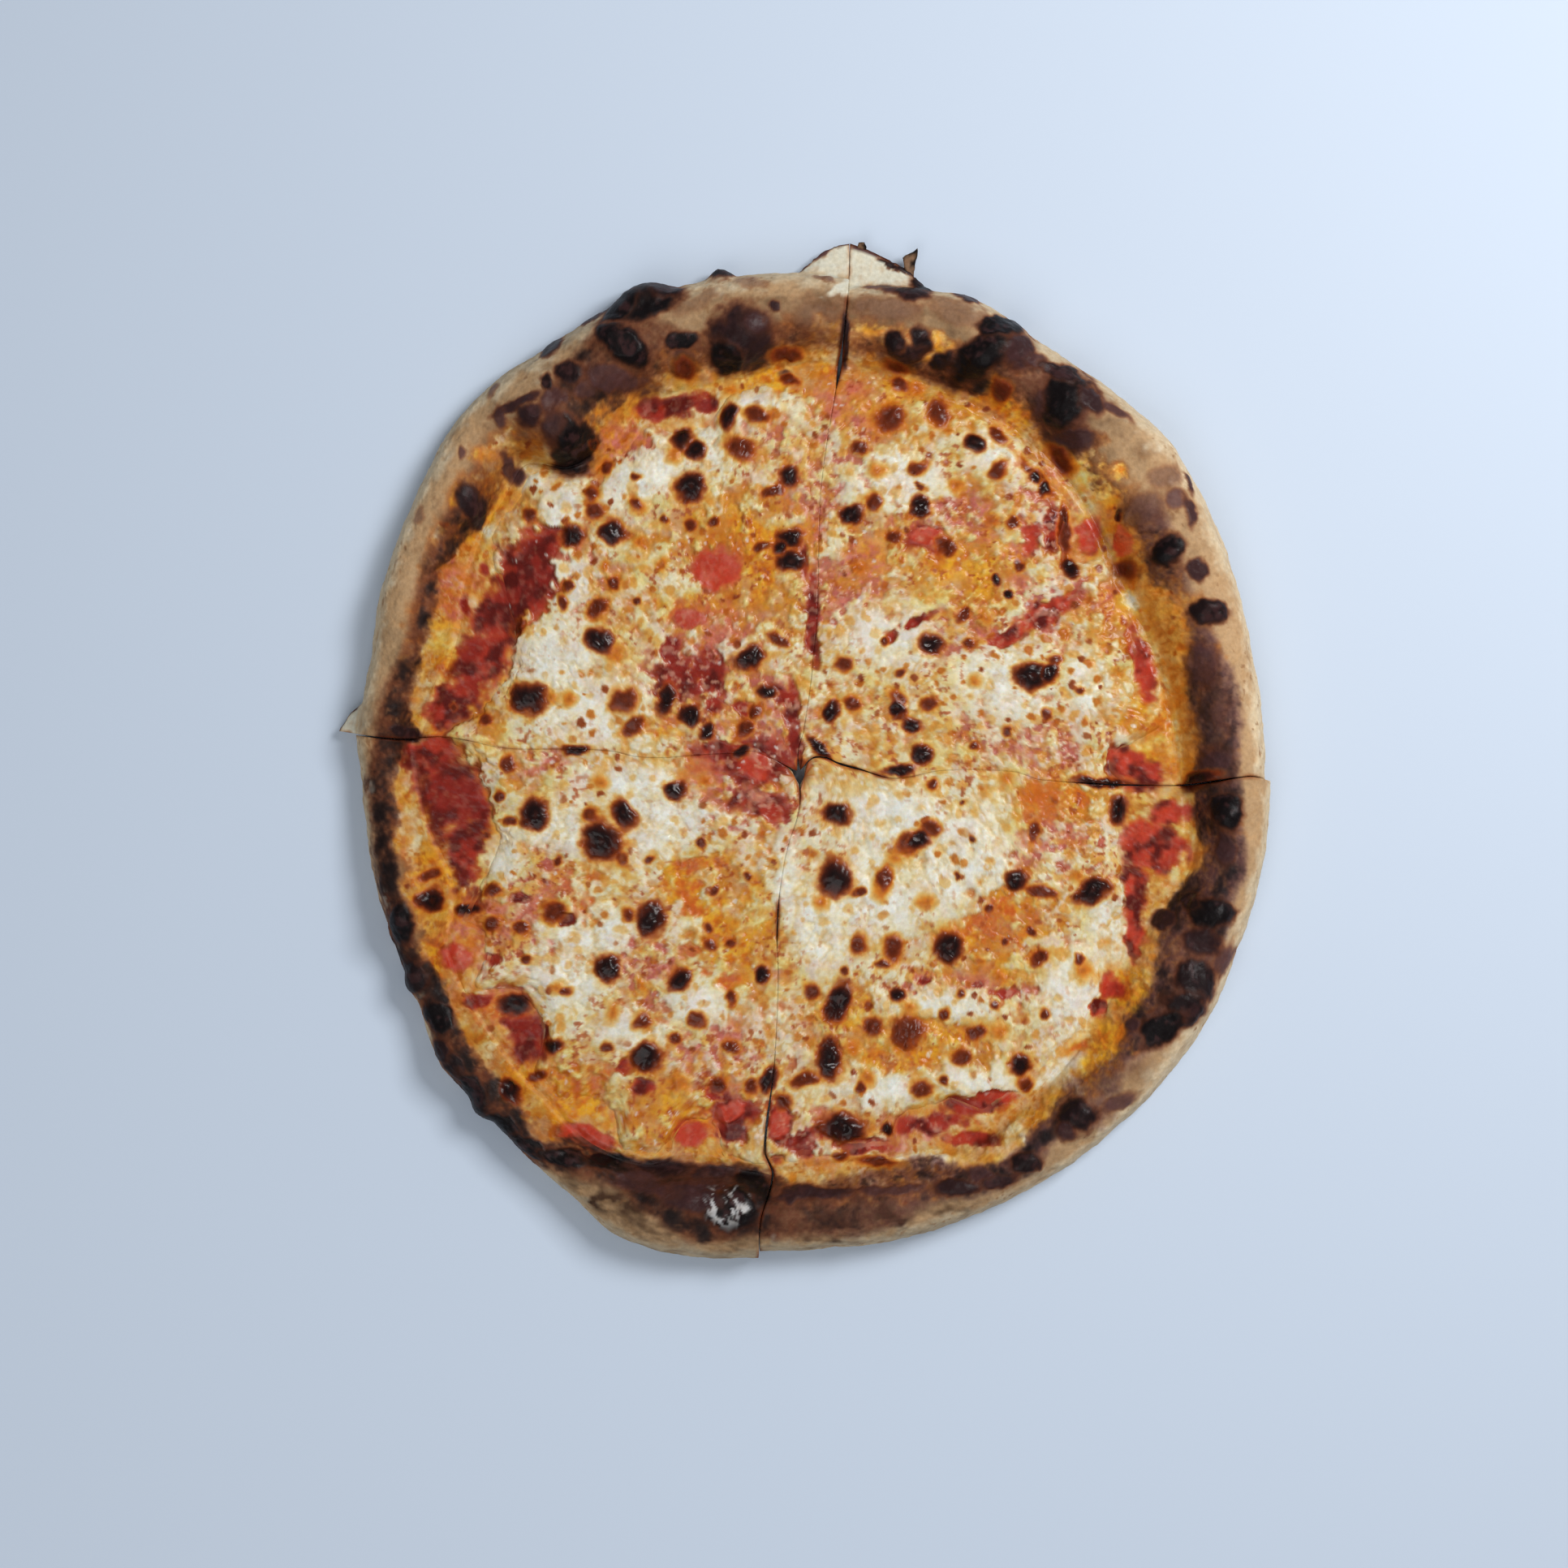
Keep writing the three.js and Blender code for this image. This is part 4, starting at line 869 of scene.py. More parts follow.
# How brown the dough is round the rim: angle, share
DOUGH_BROWNING = [
    (0, 0.15), (10, 0.05), (20, 0.05), (32, 0.2), (42, 0.1), (50, 0.45), (65, 0.45), (80, 0.45),
    (100, 0.45), (112, 0.6), (124, 0.5), (134, 0.2), (150, 0.1), (165, 0.3), (185, 0.45), (215, 0.4),
    (235, 0.5), (245, 0.8), (262, 0.95), (275, 0.85), (288, 0.7), (300, 0.4), (315, 0.3), (330, 0.15),
    (348, 0.25), (360, 0.15),
]
# Where the orange slope inside the rim ends, as a share of the rim
SLOPE_END = [
    (0, 0.4), (20, 0.45), (40, 0.3), (60, 0.28), (72, 0.38), (84, 0.42), (100, 0.32), (120, 0.3),
    (135, 0.45), (150, 0.45), (165, 0.42), (185, 0.5), (200, 0.5), (215, 0.5), (230, 0.5), (243, 0.2),
    (258, 0.08), (270, 0.2), (290, 0.42), (310, 0.42), (330, 0.4), (360, 0.4),
]
# Painted light and shade on the slope inside the rim, and the oil's darker, redder stain there: angle, share
SLOPE_LIGHT_AND_STAIN = [
    (0, 0.88), (15, 0.86), (30, 0.92), (45, 1.42), (60, 1.08), (80, 1.08), (100, 1), (130, 1), (150, 0.95),
    (175, 0.92), (200, 0.84), (218, 0.72), (232, 0.7), (243, 0.82), (255, 1), (275, 1.15), (295, 1.15),
    (320, 1), (340, 0.85), (360, 0.88),
]
# Browning and painted shade along the cuts, darkest where the slices lie apart: radius, how dark
CUT_BROWNING_AND_SHADE = {
    "east": [
        (0, 1), (10, 0.9), (24, 0.7), (32, 0.1), (60, 0.05), (76, 0.2), (86, 0.8), (94, 0.4), (104, 0.3),
        (110, 1), (118, 0.5), (130, 0.2),
    ],
    "north": [
        (0, 1), (6, 0.5), (12, 0), (100, 0), (110, 0.4), (114, 1), (118, 0.7), (122, 0.4), (128, 0.3),
        (131, 0), (134, 0), (138, 0.3), (146, 0.3),
    ],
    "west": [
        (0, 1), (6, 0.4), (14, 0.05), (50, 0.1), (62, 0.25), (75, 0.2), (95, 0.2), (108, 0.7), (127, 0.4),
    ],
    "south": [
        (0, 1), (6, 0.4), (12, 0), (32, 0.05), (40, 0.5), (48, 0.05), (76, 0.05), (84, 0.4), (95, 0.2),
        (110, 0.6), (131, 0.4),
    ],
}

# ---- Numbers of the painting ----

SHIFT = 1.1  # how far noise shifts the edges of spots
SMALL_SHIFT = 0.5
DARKEST = 1e-4
LAP_FILM = 0.8  # how thick the film of cheese is outside the cheese itself
MOST_OIL = 0.45
BRIGHT_EAST = (20, 80)  # the tomato gets brighter between these, along X
CUT_LINE_WIDTH = 0.5  # of the line along a cut
RIM_BLISTER_SCALE = 0.6
KEY_ANGLE = 36  # the slope inside the rim on this side faces away from the key light
# painted light where the slope faces away from the key light
PAINTED_LIGHT_BOOST = 0.48
SHADE_POWERS = (0.8, 1.1, 1.3)  # a darker slope is also redder
ORANGE_SLOPE_ANGLE = 8
PURPLE_ANGLE = -15  # the ring's scorched dough is most purple here
ALONG_X = (0.5, 1, 1)
ASH_AND_GLINT_STREAKS = ((0.9, -0.25, 0), (0.45, 0.5, 0), (0, 0, 1))
LEAST_ROUGHNESS = 0.05


# ---- Painting: colour, roughness and relief at points in plan ----


class Paint:
    """Colour, roughness and relief of a body's vertices"""

    def __init__(self, body):
        self.body = body
        self.points = body.points()
        self.flat = self.points * [1, 1, 0]
        count = len(self.points)
        self.colour = np.zeros((count, 3))
        self.rough = np.full(count, 0.5)
        self.lift = np.zeros(count)
        self.ragged = noise(self.flat, "ragged")
        self.x, self.y = (
            self.flat[:, k] + SHIFT * noise(self.flat, f"shift {axis}")
            + SMALL_SHIFT * noise(self.flat, f"small shift {axis}") for k, axis in enumerate("xy")
        )

    def blend(self, mask, colour, rough=None):
        """Covers what is there"""
        self.colour += mask[:, None] * (colour - self.colour)
        if rough is not None:
            self.rough += mask * (rough - self.rough)

    def soak(self, mask, colour, rough=None):
        """Stains what is there, as oil or scorching does"""
        self.colour = soaked(self.colour, colour, mask)
        if rough is not None:
            self.rough += mask * (rough - self.rough)

    def near(self, entry, reach, shift=(0, 0)):
        """The vertices near a spot, and their distances from its middle as shares of its half size"""
        x, y, wide, high, tilt = whole(entry[:5])
        cx, cy = spot(x + shift[0], y - shift[1])
        most = max(wide, high) * PHOTO_SCALE * reach
        picked = np.flatnonzero((np.abs(self.x - cx) < most) & (np.abs(self.y - cy) < most))
        turned = math.radians(tilt)
        dx, dy = self.x[picked] - cx, self.y[picked] - cy
        u = (dx * math.cos(turned) + dy * math.sin(turned)) / (wide * PHOTO_SCALE)
        v = (dy * math.cos(turned) - dx * math.sin(turned)) / (high * PHOTO_SCALE)
        return picked, np.hypot(u, v)

    def area(self, entries, soft, ragged=0):
        """How much each vertex lies in any of the areas, whose edges ragged shifts in and out"""
        share = np.zeros(len(self.x))
        for entry in entries:
            picked, away = self.near(entry, 1 + 2 * soft)
            away = away + (ragged[picked] if np.ndim(ragged) else ragged)
            share[picked] = np.maximum(share[picked], smooth(1 + soft, 1 - soft, away))
        return share

    def ramp(self, picked, away, stops):
        """Paints by distance: stops are (distance, colour, roughness, cover)"""
        at = [stop[0] for stop in stops]
        cover = np.interp(away, at, [stop[3] for stop in stops])
        logs = np.log([stop[1] for stop in stops])
        stain = np.exp(np.stack([np.interp(away, at, logs[:, axis]) for axis in range(3)], 1))
        self.colour[picked] = soaked(self.colour[picked], stain, cover)
        self.rough[picked] += cover * (np.interp(away, at, [stop[2] for stop in stops]) - self.rough[picked])

    def dots(self, kind):
        """How much each vertex lies in one of the scattered dots"""
        size, radius, density, seed = DOTS[kind]
        first, _, own = cells(self.x, self.y, size, seed)
        reach = radius * (0.5 + 0.5 * shades(own, 37))
        return smooth(1.15, 0.55, first / reach + 0.8 * self.ragged) * (own < density)


def blended(base, colour, share):
    """Mixes two colours by a share that differs from vertex to vertex"""
    return mix(base, colour, share[:, None])


def soaked(base, stain, share):
    """The same as a stain that lets light through does, by the logarithm"""
    logs = (np.log(np.maximum(colour, DARKEST)) for colour in (base, stain))
    return np.exp(blended(*logs, share))


def dome(away):
    """1 in the middle of a spot and 0 from its edge outwards"""
    return np.sqrt(np.clip(1 - away**2, 0, 1))


# Distance from a spot's middle as a share of its half size, colour, roughness and cover
BLACK_RAMP = [
    (0, mix(BLACK, BROWN, 0.5), 0.24, 1), (0.35, BLACK, 0.22, 1), (0.6, mix(BLACK, BROWN, 0.4), 0.24, 1),
    (0.82, BROWN, 0.28, 0.97), (1, mix(BROWN, RUST, 0.6), 0.33, 0.82), (1.18, RUST, 0.38, 0.5),
    (1.35, ORANGE, 0.4, 0.2), (1.6, AMBER, 0.4, 0),
]
RUST_RAMP = [
    (0, mix(BROWN, RUST, 0.35), 0.25, 0.94), (0.4, mix(BROWN, RUST, 0.2), 0.23, 0.96),
    (0.7, mix(BROWN, RUST, 0.45), 0.25, 0.94), (0.92, RUST, 0.32, 0.8),
    (1.15, mix(RUST, ORANGE, 0.6), 0.36, 0.5), (1.35, ORANGE, 0.4, 0.25), (1.6, AMBER, 0.42, 0),
]
HALO_RAMP = [
    (0, RUST, 0.35, 0.7), (0.7, mix(RUST, ORANGE, 0.5), 0.36, 0.65), (1.1, AMBER, 0.4, 0.45),
    (1.6, AMBER, 0.4, 0),
]
ORANGE_RAMP = [
    (0, mix(RUST, ORANGE, 0.4), 0.32, 0.8), (0.6, ORANGE, 0.35, 0.7), (1.2, AMBER, 0.4, 0.4),
    (1.7, AMBER, 0.4, 0),
]


class Topping:
    """What lies where on the topping, as shares at each vertex"""

    def __init__(self, paint, film, oil):
        flat = paint.flat
        self.flat, self.oil = flat, oil
        self.broad, self.lumpy, self.fine = (noise(flat, kind) for kind in ("broad", "lumpy", "fine"))
        self.mottle = noise(flat, "mottle")
        ragged = 0.6 * self.lumpy + 0.2 * self.fine
        self.white = paint.area(WHITE_AREAS, 0.5, 0.6 * ragged)
        self.oily = np.clip(paint.area(ORANGE_AREAS, 0.5, 0.8 * ragged) + oil, 0, 1)
        self.chunk = paint.area(TOMATO_CHUNKS, 0.22, 0.2 * self.lumpy + 0.15 * self.fine)
        tomato = paint.area(TOMATO_AREAS, 0.36, 0.7 * self.lumpy + 0.12 * self.fine)
        self.tomato = np.maximum(tomato, self.chunk)
        self.pink = paint.area(PINK_AREAS, 0.5, 0.6 * ragged)
        self.blushing = paint.area(BLUSH_AREAS, 0.5, 0.6 * ragged)
        self.rusty = paint.area(RUSTY_AREAS, 0.5, 0.8 * ragged) * (1 - self.tomato)
        self.streak = self.pink * patches(flat, "streak")
        self.pulp = self.tomato * patches(flat, "pulp") * (0.2 + 0.8 * self.pink)
        self.curd = patches(flat, "curd") * patches(flat, "curd area") * (0.2 + 0.8 * self.pink)

        richness = 0.2 + 0.42 * self.white - 0.4 * self.oily - 0.05 * self.pink - 1.2 * self.tomato
        richness = richness + 0.8 * (film - 1) + 0.3 * self.broad + 0.9 * self.lumpy + 0.25 * self.fine
        self.richness = richness - 0.4 * self.streak - 0.3 * self.blushing
        self.thin = np.clip(oil / MOST_OIL, 0, 1)
        self.cover = smooth(-0.26 - 0.24 * self.thin, 0.27 + 0.18 * self.thin, self.richness)
        self.melted = smooth(-0.55, 0.6, self.richness - 0.25 * self.fine)
        first, second, self.shred = cells(paint.x, paint.y, *CURDS)
        gaps = smooth(1.1, 0, second - first + 1.4 * self.fine)
        self.crease = gaps * patches(flat, "crease area") * (1 - 0.7 * self.tomato)

    def lower_colour(self):
        """Oil, thin cheese and tomato"""
        flat, oily, pink, chunk = self.flat, self.oily, self.pink, self.chunk
        orange = blended(PEACH, mix(AMBER, RUST, 0.25), patches(flat, "rust"))
        stained = blended(YELLOW, ORANGE, smooth(-0.2, 0.35, self.mottle))
        stained = blended(stained, RUST, 0.6 * smooth(0.3, 0.6, self.mottle))
        orange = blended(orange, stained, oily * patches(flat, "oil"))
        blush = np.clip(pink * (0.7 + 0.9 * self.fine) + 0.4 * patches(flat, "blush") * (1 - oily), 0, 1)
        under = blended(orange, PINK, blush)
        under = blended(under, mix(TOMATO, PINK, 0.45), 0.7 * self.streak)
        blush_colour = blended(mix(ORANGE, BRIGHT_TOMATO, 0.6), PINK, 0.7 * pink)
        under = soaked(under, blush_colour, 0.65 * self.blushing * smooth(-0.5, 0.2, self.mottle))
        depth = smooth(-0.35, 0.2, noise(flat, "tomato depth") + 0.5 * chunk)
        bright = 0.5 * patches(flat, "bright tomato") + 0.6 * smooth(*BRIGHT_EAST, flat[:, 0]) + 0.8 * chunk
        flesh = blended(TOMATO, BRIGHT_TOMATO, np.clip(bright, 0, 1))
        # pale pink mottling on the tomato chunks: their lighter flesh, and painted highlights
        flesh = blended(flesh, PINK, 0.35 * chunk * smooth(-0.1, 0.4, self.mottle))
        under = soaked(under, blended(DARK_TOMATO, flesh, depth), self.tomato)
        under = blended(under, STRING, 0.55 * self.pulp)
        return blended(under, STRING, 0.45 * self.curd * self.tomato * (1 - self.oil))

    def upper_colour(self):
        """Thick melted cheese"""
        flat, white = self.flat, self.white
        top = blended(BUTTER, CREAM, smooth(-0.4, 0.3, self.broad + 0.7 * white - 0.5 * self.oily))
        top = blended(top, WHITE, white * smooth(-0.2, 0.5, self.richness - 0.3))
        rosy = smooth(-0.1, 0.45, noise(flat, "rosy") + 0.3 * self.pink)
        top = blended(top, ROSE, rosy * (0.6 - 0.3 * white))
        yellowish = smooth(0.05, 0.5, noise(flat, "yellowish") + 0.2 * self.oily)
        top = blended(top, BUTTER, yellowish * (0.75 - 0.5 * white))
        return top * (1.04 - 0.16 * shades(self.shred, 53))[:, None]


def paint_topping(paint, film=LAP_FILM, oil=MOST_OIL):
    """Melted cheese, oil and tomato. film is 0 where the cheese ends and 1 where it lies thick, and oil
    stains it orange. Returns how much tomato shows at each vertex."""
    flat = paint.flat
    oil = oil + np.zeros(len(flat))
    found = Topping(paint, film, oil)
    white, tomato, thin = found.white, found.tomato, found.thin
    dry = 1 - tomato
    paint.colour = soaked(found.lower_colour(), found.upper_colour(), found.cover)
    # oranger, darker valleys between the curds: the oil gathered there, and painted shade
    paint.soak(found.crease * (0.34 - 0.24 * white), mix(AMBER, RUST, 0.45))
    paint.rough[:] = mix(0.27, 0.36, found.cover)

    stain = patches(flat, "amber") * (1 - 0.5 * white) * dry
    paint.soak((0.5 - 0.36 * white) * stain, AMBER)
    scattered = patches(flat, "speckle area") * dry
    paint.soak((0.5 - 0.2 * white) * paint.dots("amber") * dry, mix(AMBER, ORANGE, 0.5), 0.36)
    paint.soak(0.7 * paint.dots("orange") * scattered, mix(ORANGE, RUST, 0.5), 0.34)
    paint.soak(0.8 * paint.dots("rust") * scattered, mix(RUST, BROWN, 0.3), 0.34)
    pits = smooth(0.2 - 0.1 * thin, 0.5, noise(flat, "pits")) * patches(flat, "pit area")
    pit_colour = blended(mix(RUST, TOMATO, 0.4), mix(RUST, AMBER, 0.35), thin)
    paint.soak(np.clip(0.5 + 0.4 * oil, 0, 1) * pits * (1 - 0.75 * white) * dry, pit_colour)
    paint.soak(0.45 * found.rusty * smooth(-0.5, 0.3, found.mottle), ORANGE)
    strands = smooth(0.09, 0, np.abs(noise(flat, "strands"))) * patches(flat, "strand area")
    paint.blend(oil * strands * dry, mix(BUTTER, PEACH, 0.6))
    # painted glints: small white dots on the cheese, which are glossier too
    glint = paint.dots("glint") * patches(flat, "glint area") * (1 - thin)
    paint.blend(0.5 * glint, WHITE, 0.2)

    melted = found.melted
    paint.lift += 0.6 * melted + 0.4 * white * melted + 0.12 * found.cover
    paint.lift += 0.25 * found.lumpy + 0.07 * found.fine
    paint.lift -= 0.22 * found.crease
    paint.lift += (0.2 * found.curd + 0.15 * found.pulp - 0.3) * tomato + 0.5 * found.chunk
    return tomato


def add_blisters(paint, scale=1.0):
    """Orange, rust-brown and black blisters, each with a stain round it that lies a little to one side"""
    chance = np.random.default_rng(5)
    for entry in ORANGE_SPOTS:
        picked, away = paint.near(entry, 1.8)
        paint.ramp(picked, away + 0.4 * paint.ragged[picked], ORANGE_RAMP)
        paint.lift[picked] += 0.22 * scale * dome(away / 1.1)
    inside = np.zeros(len(paint.x))
    for entries, stops, height in ((RUST_BLISTERS, RUST_RAMP, 0.2), (BLACK_BLISTERS, BLACK_RAMP, 0.27)):
        for entry in entries:
            size = min(whole(entry)[2:4])
            turn, strength = chance.uniform(0, 2 * math.pi), chance.uniform(0, 1)
            shift = 0.5 * size * math.cos(turn), 0.5 * size * math.sin(turn)
            picked, away = paint.near(entry, 2, shift)
            halo = [(at, colour, rough, cover * strength) for at, colour, rough, cover in HALO_RAMP]
            paint.ramp(picked, away + 0.8 * paint.ragged[picked], halo)
            picked, away = paint.near(entry, 1.6)
            away = away + 0.3 * paint.ragged[picked]
            paint.ramp(picked, away, stops)
            inside[picked] = np.maximum(inside[picked], smooth(1, 0.6, away)) if stops is RUST_RAMP else 0
            paint.lift[picked] += scale * height * size * PHOTO_SCALE * dome(np.maximum(away, 0) / 1.05)
    # painted sheen: pale pink highlights inside the rust blisters
    paint.blend(0.1 * inside * patches(paint.flat, "sheen"), mix(PINK, RUST, 0.4))


def brown_and_shade_cuts(paint):
    """Browned edges where the knife went through, and painted shade where the slices lie apart"""
    body = paint.body
    for name, away in zip(body.slice["cuts"], body.cut_distances()):
        # browning and painted shade, darkest at the tip and where the gap is widest
        dark = through(CUT_BROWNING_AND_SHADE[name], body.radius) * (0.6 + 2.5 * noise(paint.flat, "cut line"))
        paint.soak(np.clip(dark, 0, 1) * np.exp(-((away / CUT_LINE_WIDTH) ** 2)), mix(BROWN, RUST, 0.4))


def paint_slope_light(paint, across):
    """Painted light and shade on the slope inside the rim, whose colour is the topping's"""
    angle = paint.body.angle
    # painted light: lighter where the slope faces away from the key light
    painted_light = np.maximum(turned_towards(angle, KEY_ANGLE), 0)
    painted_light *= smooth(0, 0.04, across) * smooth(0.7, 0.4, across)
    paint.colour *= 1 + PAINTED_LIGHT_BOOST * painted_light[:, None]
    # lighter or darker by angle: painted light and shade, and the oil's darker, redder stain
    shade = mix(1, through(SLOPE_LIGHT_AND_STAIN, angle % 360), smooth(0, 0.2, across))
    paint.colour *= shade[:, None] ** SHADE_POWERS
    east = smooth(0.75, 0.95, turned_towards(angle, ORANGE_SLOPE_ANGLE))
    paint.soak(0.35 * east * smooth(0, 0.1, across), ORANGE)


def paint_rim(paint, across, wall):
    """The rim: across is the share of its width from the topping outwards, wall is 1 on the outer wall"""
    points = paint.points
    angle = paint.body.angle % 360
    broad, lumpy, fine, grain = (noise(points, f"rim {kind}") for kind in ("broad", "lumpy", "fine", "grain"))

    streaky = noise(points * ALONG_X, "rim streaks")
    outwards = smooth(0.62, 0.95, across + 0.25 * lumpy + 0.5 * streaky)
    browning = np.clip(through(DOUGH_BROWNING, angle) * mix(1, 0.45, outwards) * mix(1, 0.9, wall), 0, 1)
    dough = blended(DOUGH_TAN, DOUGH_BROWN, 0.8 * smooth(0.1, 0.8, 0.7 * broad + 0.8 * lumpy))
    pale = smooth(0.78, 0.95, across + 0.2 * lumpy + 0.1 * broad)
    dough = blended(dough, DOUGH_PALE, pale * (0.8 + 0.3 * fine))
    dough = blended(dough, DOUGH_GREY, np.clip(browning * (0.95 + 0.9 * lumpy), 0, 1))

    slope = through(SLOPE_END, angle)
    stain = smooth(slope + 0.09, slope - 0.09, across + 0.3 * lumpy + 0.12 * fine)
    toast = 0.35 * smooth(slope + 0.2, slope, across + 0.25 * lumpy)
    paint.colour = blended(soaked(dough, RUST, toast), paint.colour, stain)
    paint.rough[:] = mix(0.78, 0.45, stain)

    paint_ring(paint, 0.45 * lumpy + 0.25 * fine, grain, 1 - wall)

    specks = patches(points, "rim speck") * patches(points, "rim speck area")
    paint.soak(0.6 * specks * (1 - stain), DOUGH_BROWN, 0.8)
    paint.blend(0.35 * patches(points, "rim flour") * pale * (1 - browning), FLOUR, 0.9)
    paint.lift += (0.6 * broad + 0.45 * lumpy + 0.16 * fine) * smooth(0, 0.15, across)


def paint_ring(paint, ragged, grain, where):
    """The scorched ring of the rim"""
    points, radius = paint.points, paint.body.radius
    angle = paint.body.angle % 360
    inner, outer, dark = (through([(stop[0], stop[k]) for stop in DARK_RING], angle) for k in (1, 2, 3))
    ring = smooth(-0.9, 1.6, radius - inner + 3 * ragged) * smooth(-2, 2.2, outer - radius + 3 * ragged)
    ring *= smooth(0, 0.3, dark) * where
    scorched = blended(REDDISH_BROWN, PURPLE_BROWN, smooth(0.1, 0.8, turned_towards(angle, PURPLE_ANGLE)))
    paint.soak(ring * np.clip(0.35 + 0.55 * dark + 0.35 * grain, 0, 1), scorched, 0.65)
    deep = np.clip(np.minimum(radius - inner, outer - radius), -2, 2)
    black = 0.9 * noise(points, "ring") + 0.2 * grain + 1.2 * (dark - 0.82) + 0.1 * deep
    paint.soak(0.75 * ring * smooth(-0.25, 0.75, black), CHAR, 0.5)


def add_char(paint):
    """Burnt places and painted shadow at the flap's foot, reaching over the topping's edge too, and the rim's
    bubbles
    """
    points = paint.points
    ragged = noise(points, "rim lumpy") + 0.3 * noise(points, "char edge")
    shade = noise(points, "char shade") + 0.6 * noise(points, "char grain")
    for entry in RIM_CHAR:
        picked, away = paint.near(entry, 2)
        black = entry[5]
        away = away + mix(0.9, 0.4, black) * ragged[picked]
        core = mix(mix(DOUGH_BROWN, PURPLE_BROWN, min(1, 2 * black)), CHAR, max(0, 2 * black - 1))
        cover = min(1, 1.3 * black)
        soft = mix(0.3, 0.05, black)
        paint.ramp(picked, away, [
            (0, core, 0.4, cover),
            (0.8 - soft, core, 0.42, cover),
            (1.0 - soft, mix(core, REDDISH_BROWN, 0.4), 0.5, 0.85 * cover),
            (1.1, REDDISH_BROWN, 0.6, 0.4 * cover),
            (1.3 + soft, DOUGH_BROWN, 0.7, 0),
        ])
        paint.lift[picked] += 0.35 * black * smooth(1.1, 0.7, away)
        warm = 0.4 * smooth(0, 0.5, shade[picked]) * smooth(0.9, 0.6, away) * cover
        paint.colour[picked] = blended(paint.colour[picked], PURPLE_BROWN, warm)
    # pale grey streaks on a burnt bubble: partly ash, partly painted glints
    ash_and_glint = paint.area(ASH_AND_GLINT_AREAS, 0.4) * patches(paint.flat @ np.array(ASH_AND_GLINT_STREAKS), "ash_and_glint")
    paint.blend(0.8 * ash_and_glint, ASH_AND_GLINT, 0.3)
    for entry in RIM_BUBBLES:
        picked, away = paint.near(entry, 1.6)
        paint.lift[picked] += entry[5] * smooth(1.25, 0.1, away)


def paint_flap(paint):
    """The torn flap of thin dough: pale crumb with a burnt edge"""
    body = paint.body
    reach = through(body.slice["flap"], body.angle)
    out = body.radius - rim_radius(body.slice, body.angle)
    ragged = 0.8 * noise(paint.points, "flap edge")
    inside = smooth(0.2, 1, out + ragged) * (body.zone == WALL) * (reach > 1) * smooth(2.5, 1.8, body.row)
    paint.blend(inside, CRUMB, 0.75)
    paint.blend(0.4 * inside * patches(paint.points, "toasted crumb"), DOUGH_TAN, 0.8)
    burnt = inside * smooth(0.7, 0.2, reach - out + ragged)
    paint.blend(burnt, REDDISH_BROWN, 0.6)
    paint.blend(paint.area(TORN_AREAS, 0.3, 0.5 * paint.ragged), CRUMB, 0.8)


def paint_underside(paint):
    """Floured dough with toasted and burnt patches"""
    points, body = paint.points, paint.body
    below = np.where(body.zone == UNDERSIDE, 1.0, smooth(2, 3, body.row) * (body.zone == WALL))
    base = blended(DOUGH_PALE, DOUGH_TAN, patches(points, "toasted base"))
    base = blended(base, mix(PURPLE_BROWN, DOUGH_BROWN, 0.4), patches(points, "burnt base"))
    base = blended(base, FLOUR, 0.4 * patches(points, "floured base"))
    paint.blend(below, base, 0.85)


# ---- Materials ----

TEXTURE_RANGE = (0.35, 0.65)  # most of a noise texture's values lie between these
STAIN_SIZE = 1.6  # sizes of the stains and the polished patches, as multiples of the grain's
POLISH_SIZE = 2.3


def material(name, finish):
    """A shader with the painted tint and gloss and a fine grain of its own"""
    made = bpy.data.materials.new(name)
    made.use_nodes = True
    nodes, links = made.node_tree.nodes, made.node_tree.links
    shader = nodes["Principled BSDF"]
    for socket, value in finish["sockets"].items():
        shader.inputs[socket].default_value = value

    tint = nodes.new("ShaderNodeAttribute")
    tint.attribute_name = "tint"
    gloss = nodes.new("ShaderNodeAttribute")
    gloss.attribute_name = "gloss"
    place = nodes.new("ShaderNodeTexCoord")

    def texture(size, detail):
        node = nodes.new("ShaderNodeTexNoise")
        node.inputs["Scale"].default_value = 1 / (size * MM)
        node.inputs["Detail"].default_value = detail
        links.new(place.outputs["Object"], node.inputs["Vector"])
        return node.outputs["Fac"]

    def mapped(value, low, high):
        node = nodes.new("ShaderNodeMapRange")
        for socket, end in zip(("From Min", "From Max", "To Min", "To Max"), (*TEXTURE_RANGE, low, high)):
            node.inputs[socket].default_value = end
        links.new(value, node.inputs["Value"])
        return node.outputs["Result"]

    def product(kind, one, other):
        node = nodes.new(kind)
        node.operation = "MULTIPLY"
        links.new(one, node.inputs[0])
        links.new(other, node.inputs[1])
        return node.outputs[0]

    shade = mapped(texture(finish["grain"], 4), *finish["shade"])
    grained = product("ShaderNodeVectorMath", tint.outputs["Color"], shade)
    stain = nodes.new("ShaderNodeMix")
    stain.data_type = "RGBA"
    stain.blend_type = "MULTIPLY"
    links.new(mapped(texture(finish["grain"] * STAIN_SIZE, 3), *finish["stained"]), stain.inputs[0])
    links.new(grained, stain.inputs[6])
    stain.inputs[7].default_value = (*finish["stain"], 1)
    links.new(stain.outputs[2], shader.inputs["Base Color"])
    polish = mapped(texture(finish["grain"] * POLISH_SIZE, 3), *finish["polish"])
    links.new(product("ShaderNodeMath", gloss.outputs["Fac"], polish), shader.inputs["Roughness"])
    bump = nodes.new("ShaderNodeBump")
    bump.inputs["Strength"].default_value = finish["bump"]
    bump.inputs["Distance"].default_value = finish["depth"] * MM
    relief = product("ShaderNodeMath", texture(finish["relief"], 5), gloss.outputs["Fac"])
    links.new(relief, bump.inputs["Height"])
    links.new(bump.outputs["Normal"], shader.inputs["Normal"])
    return made


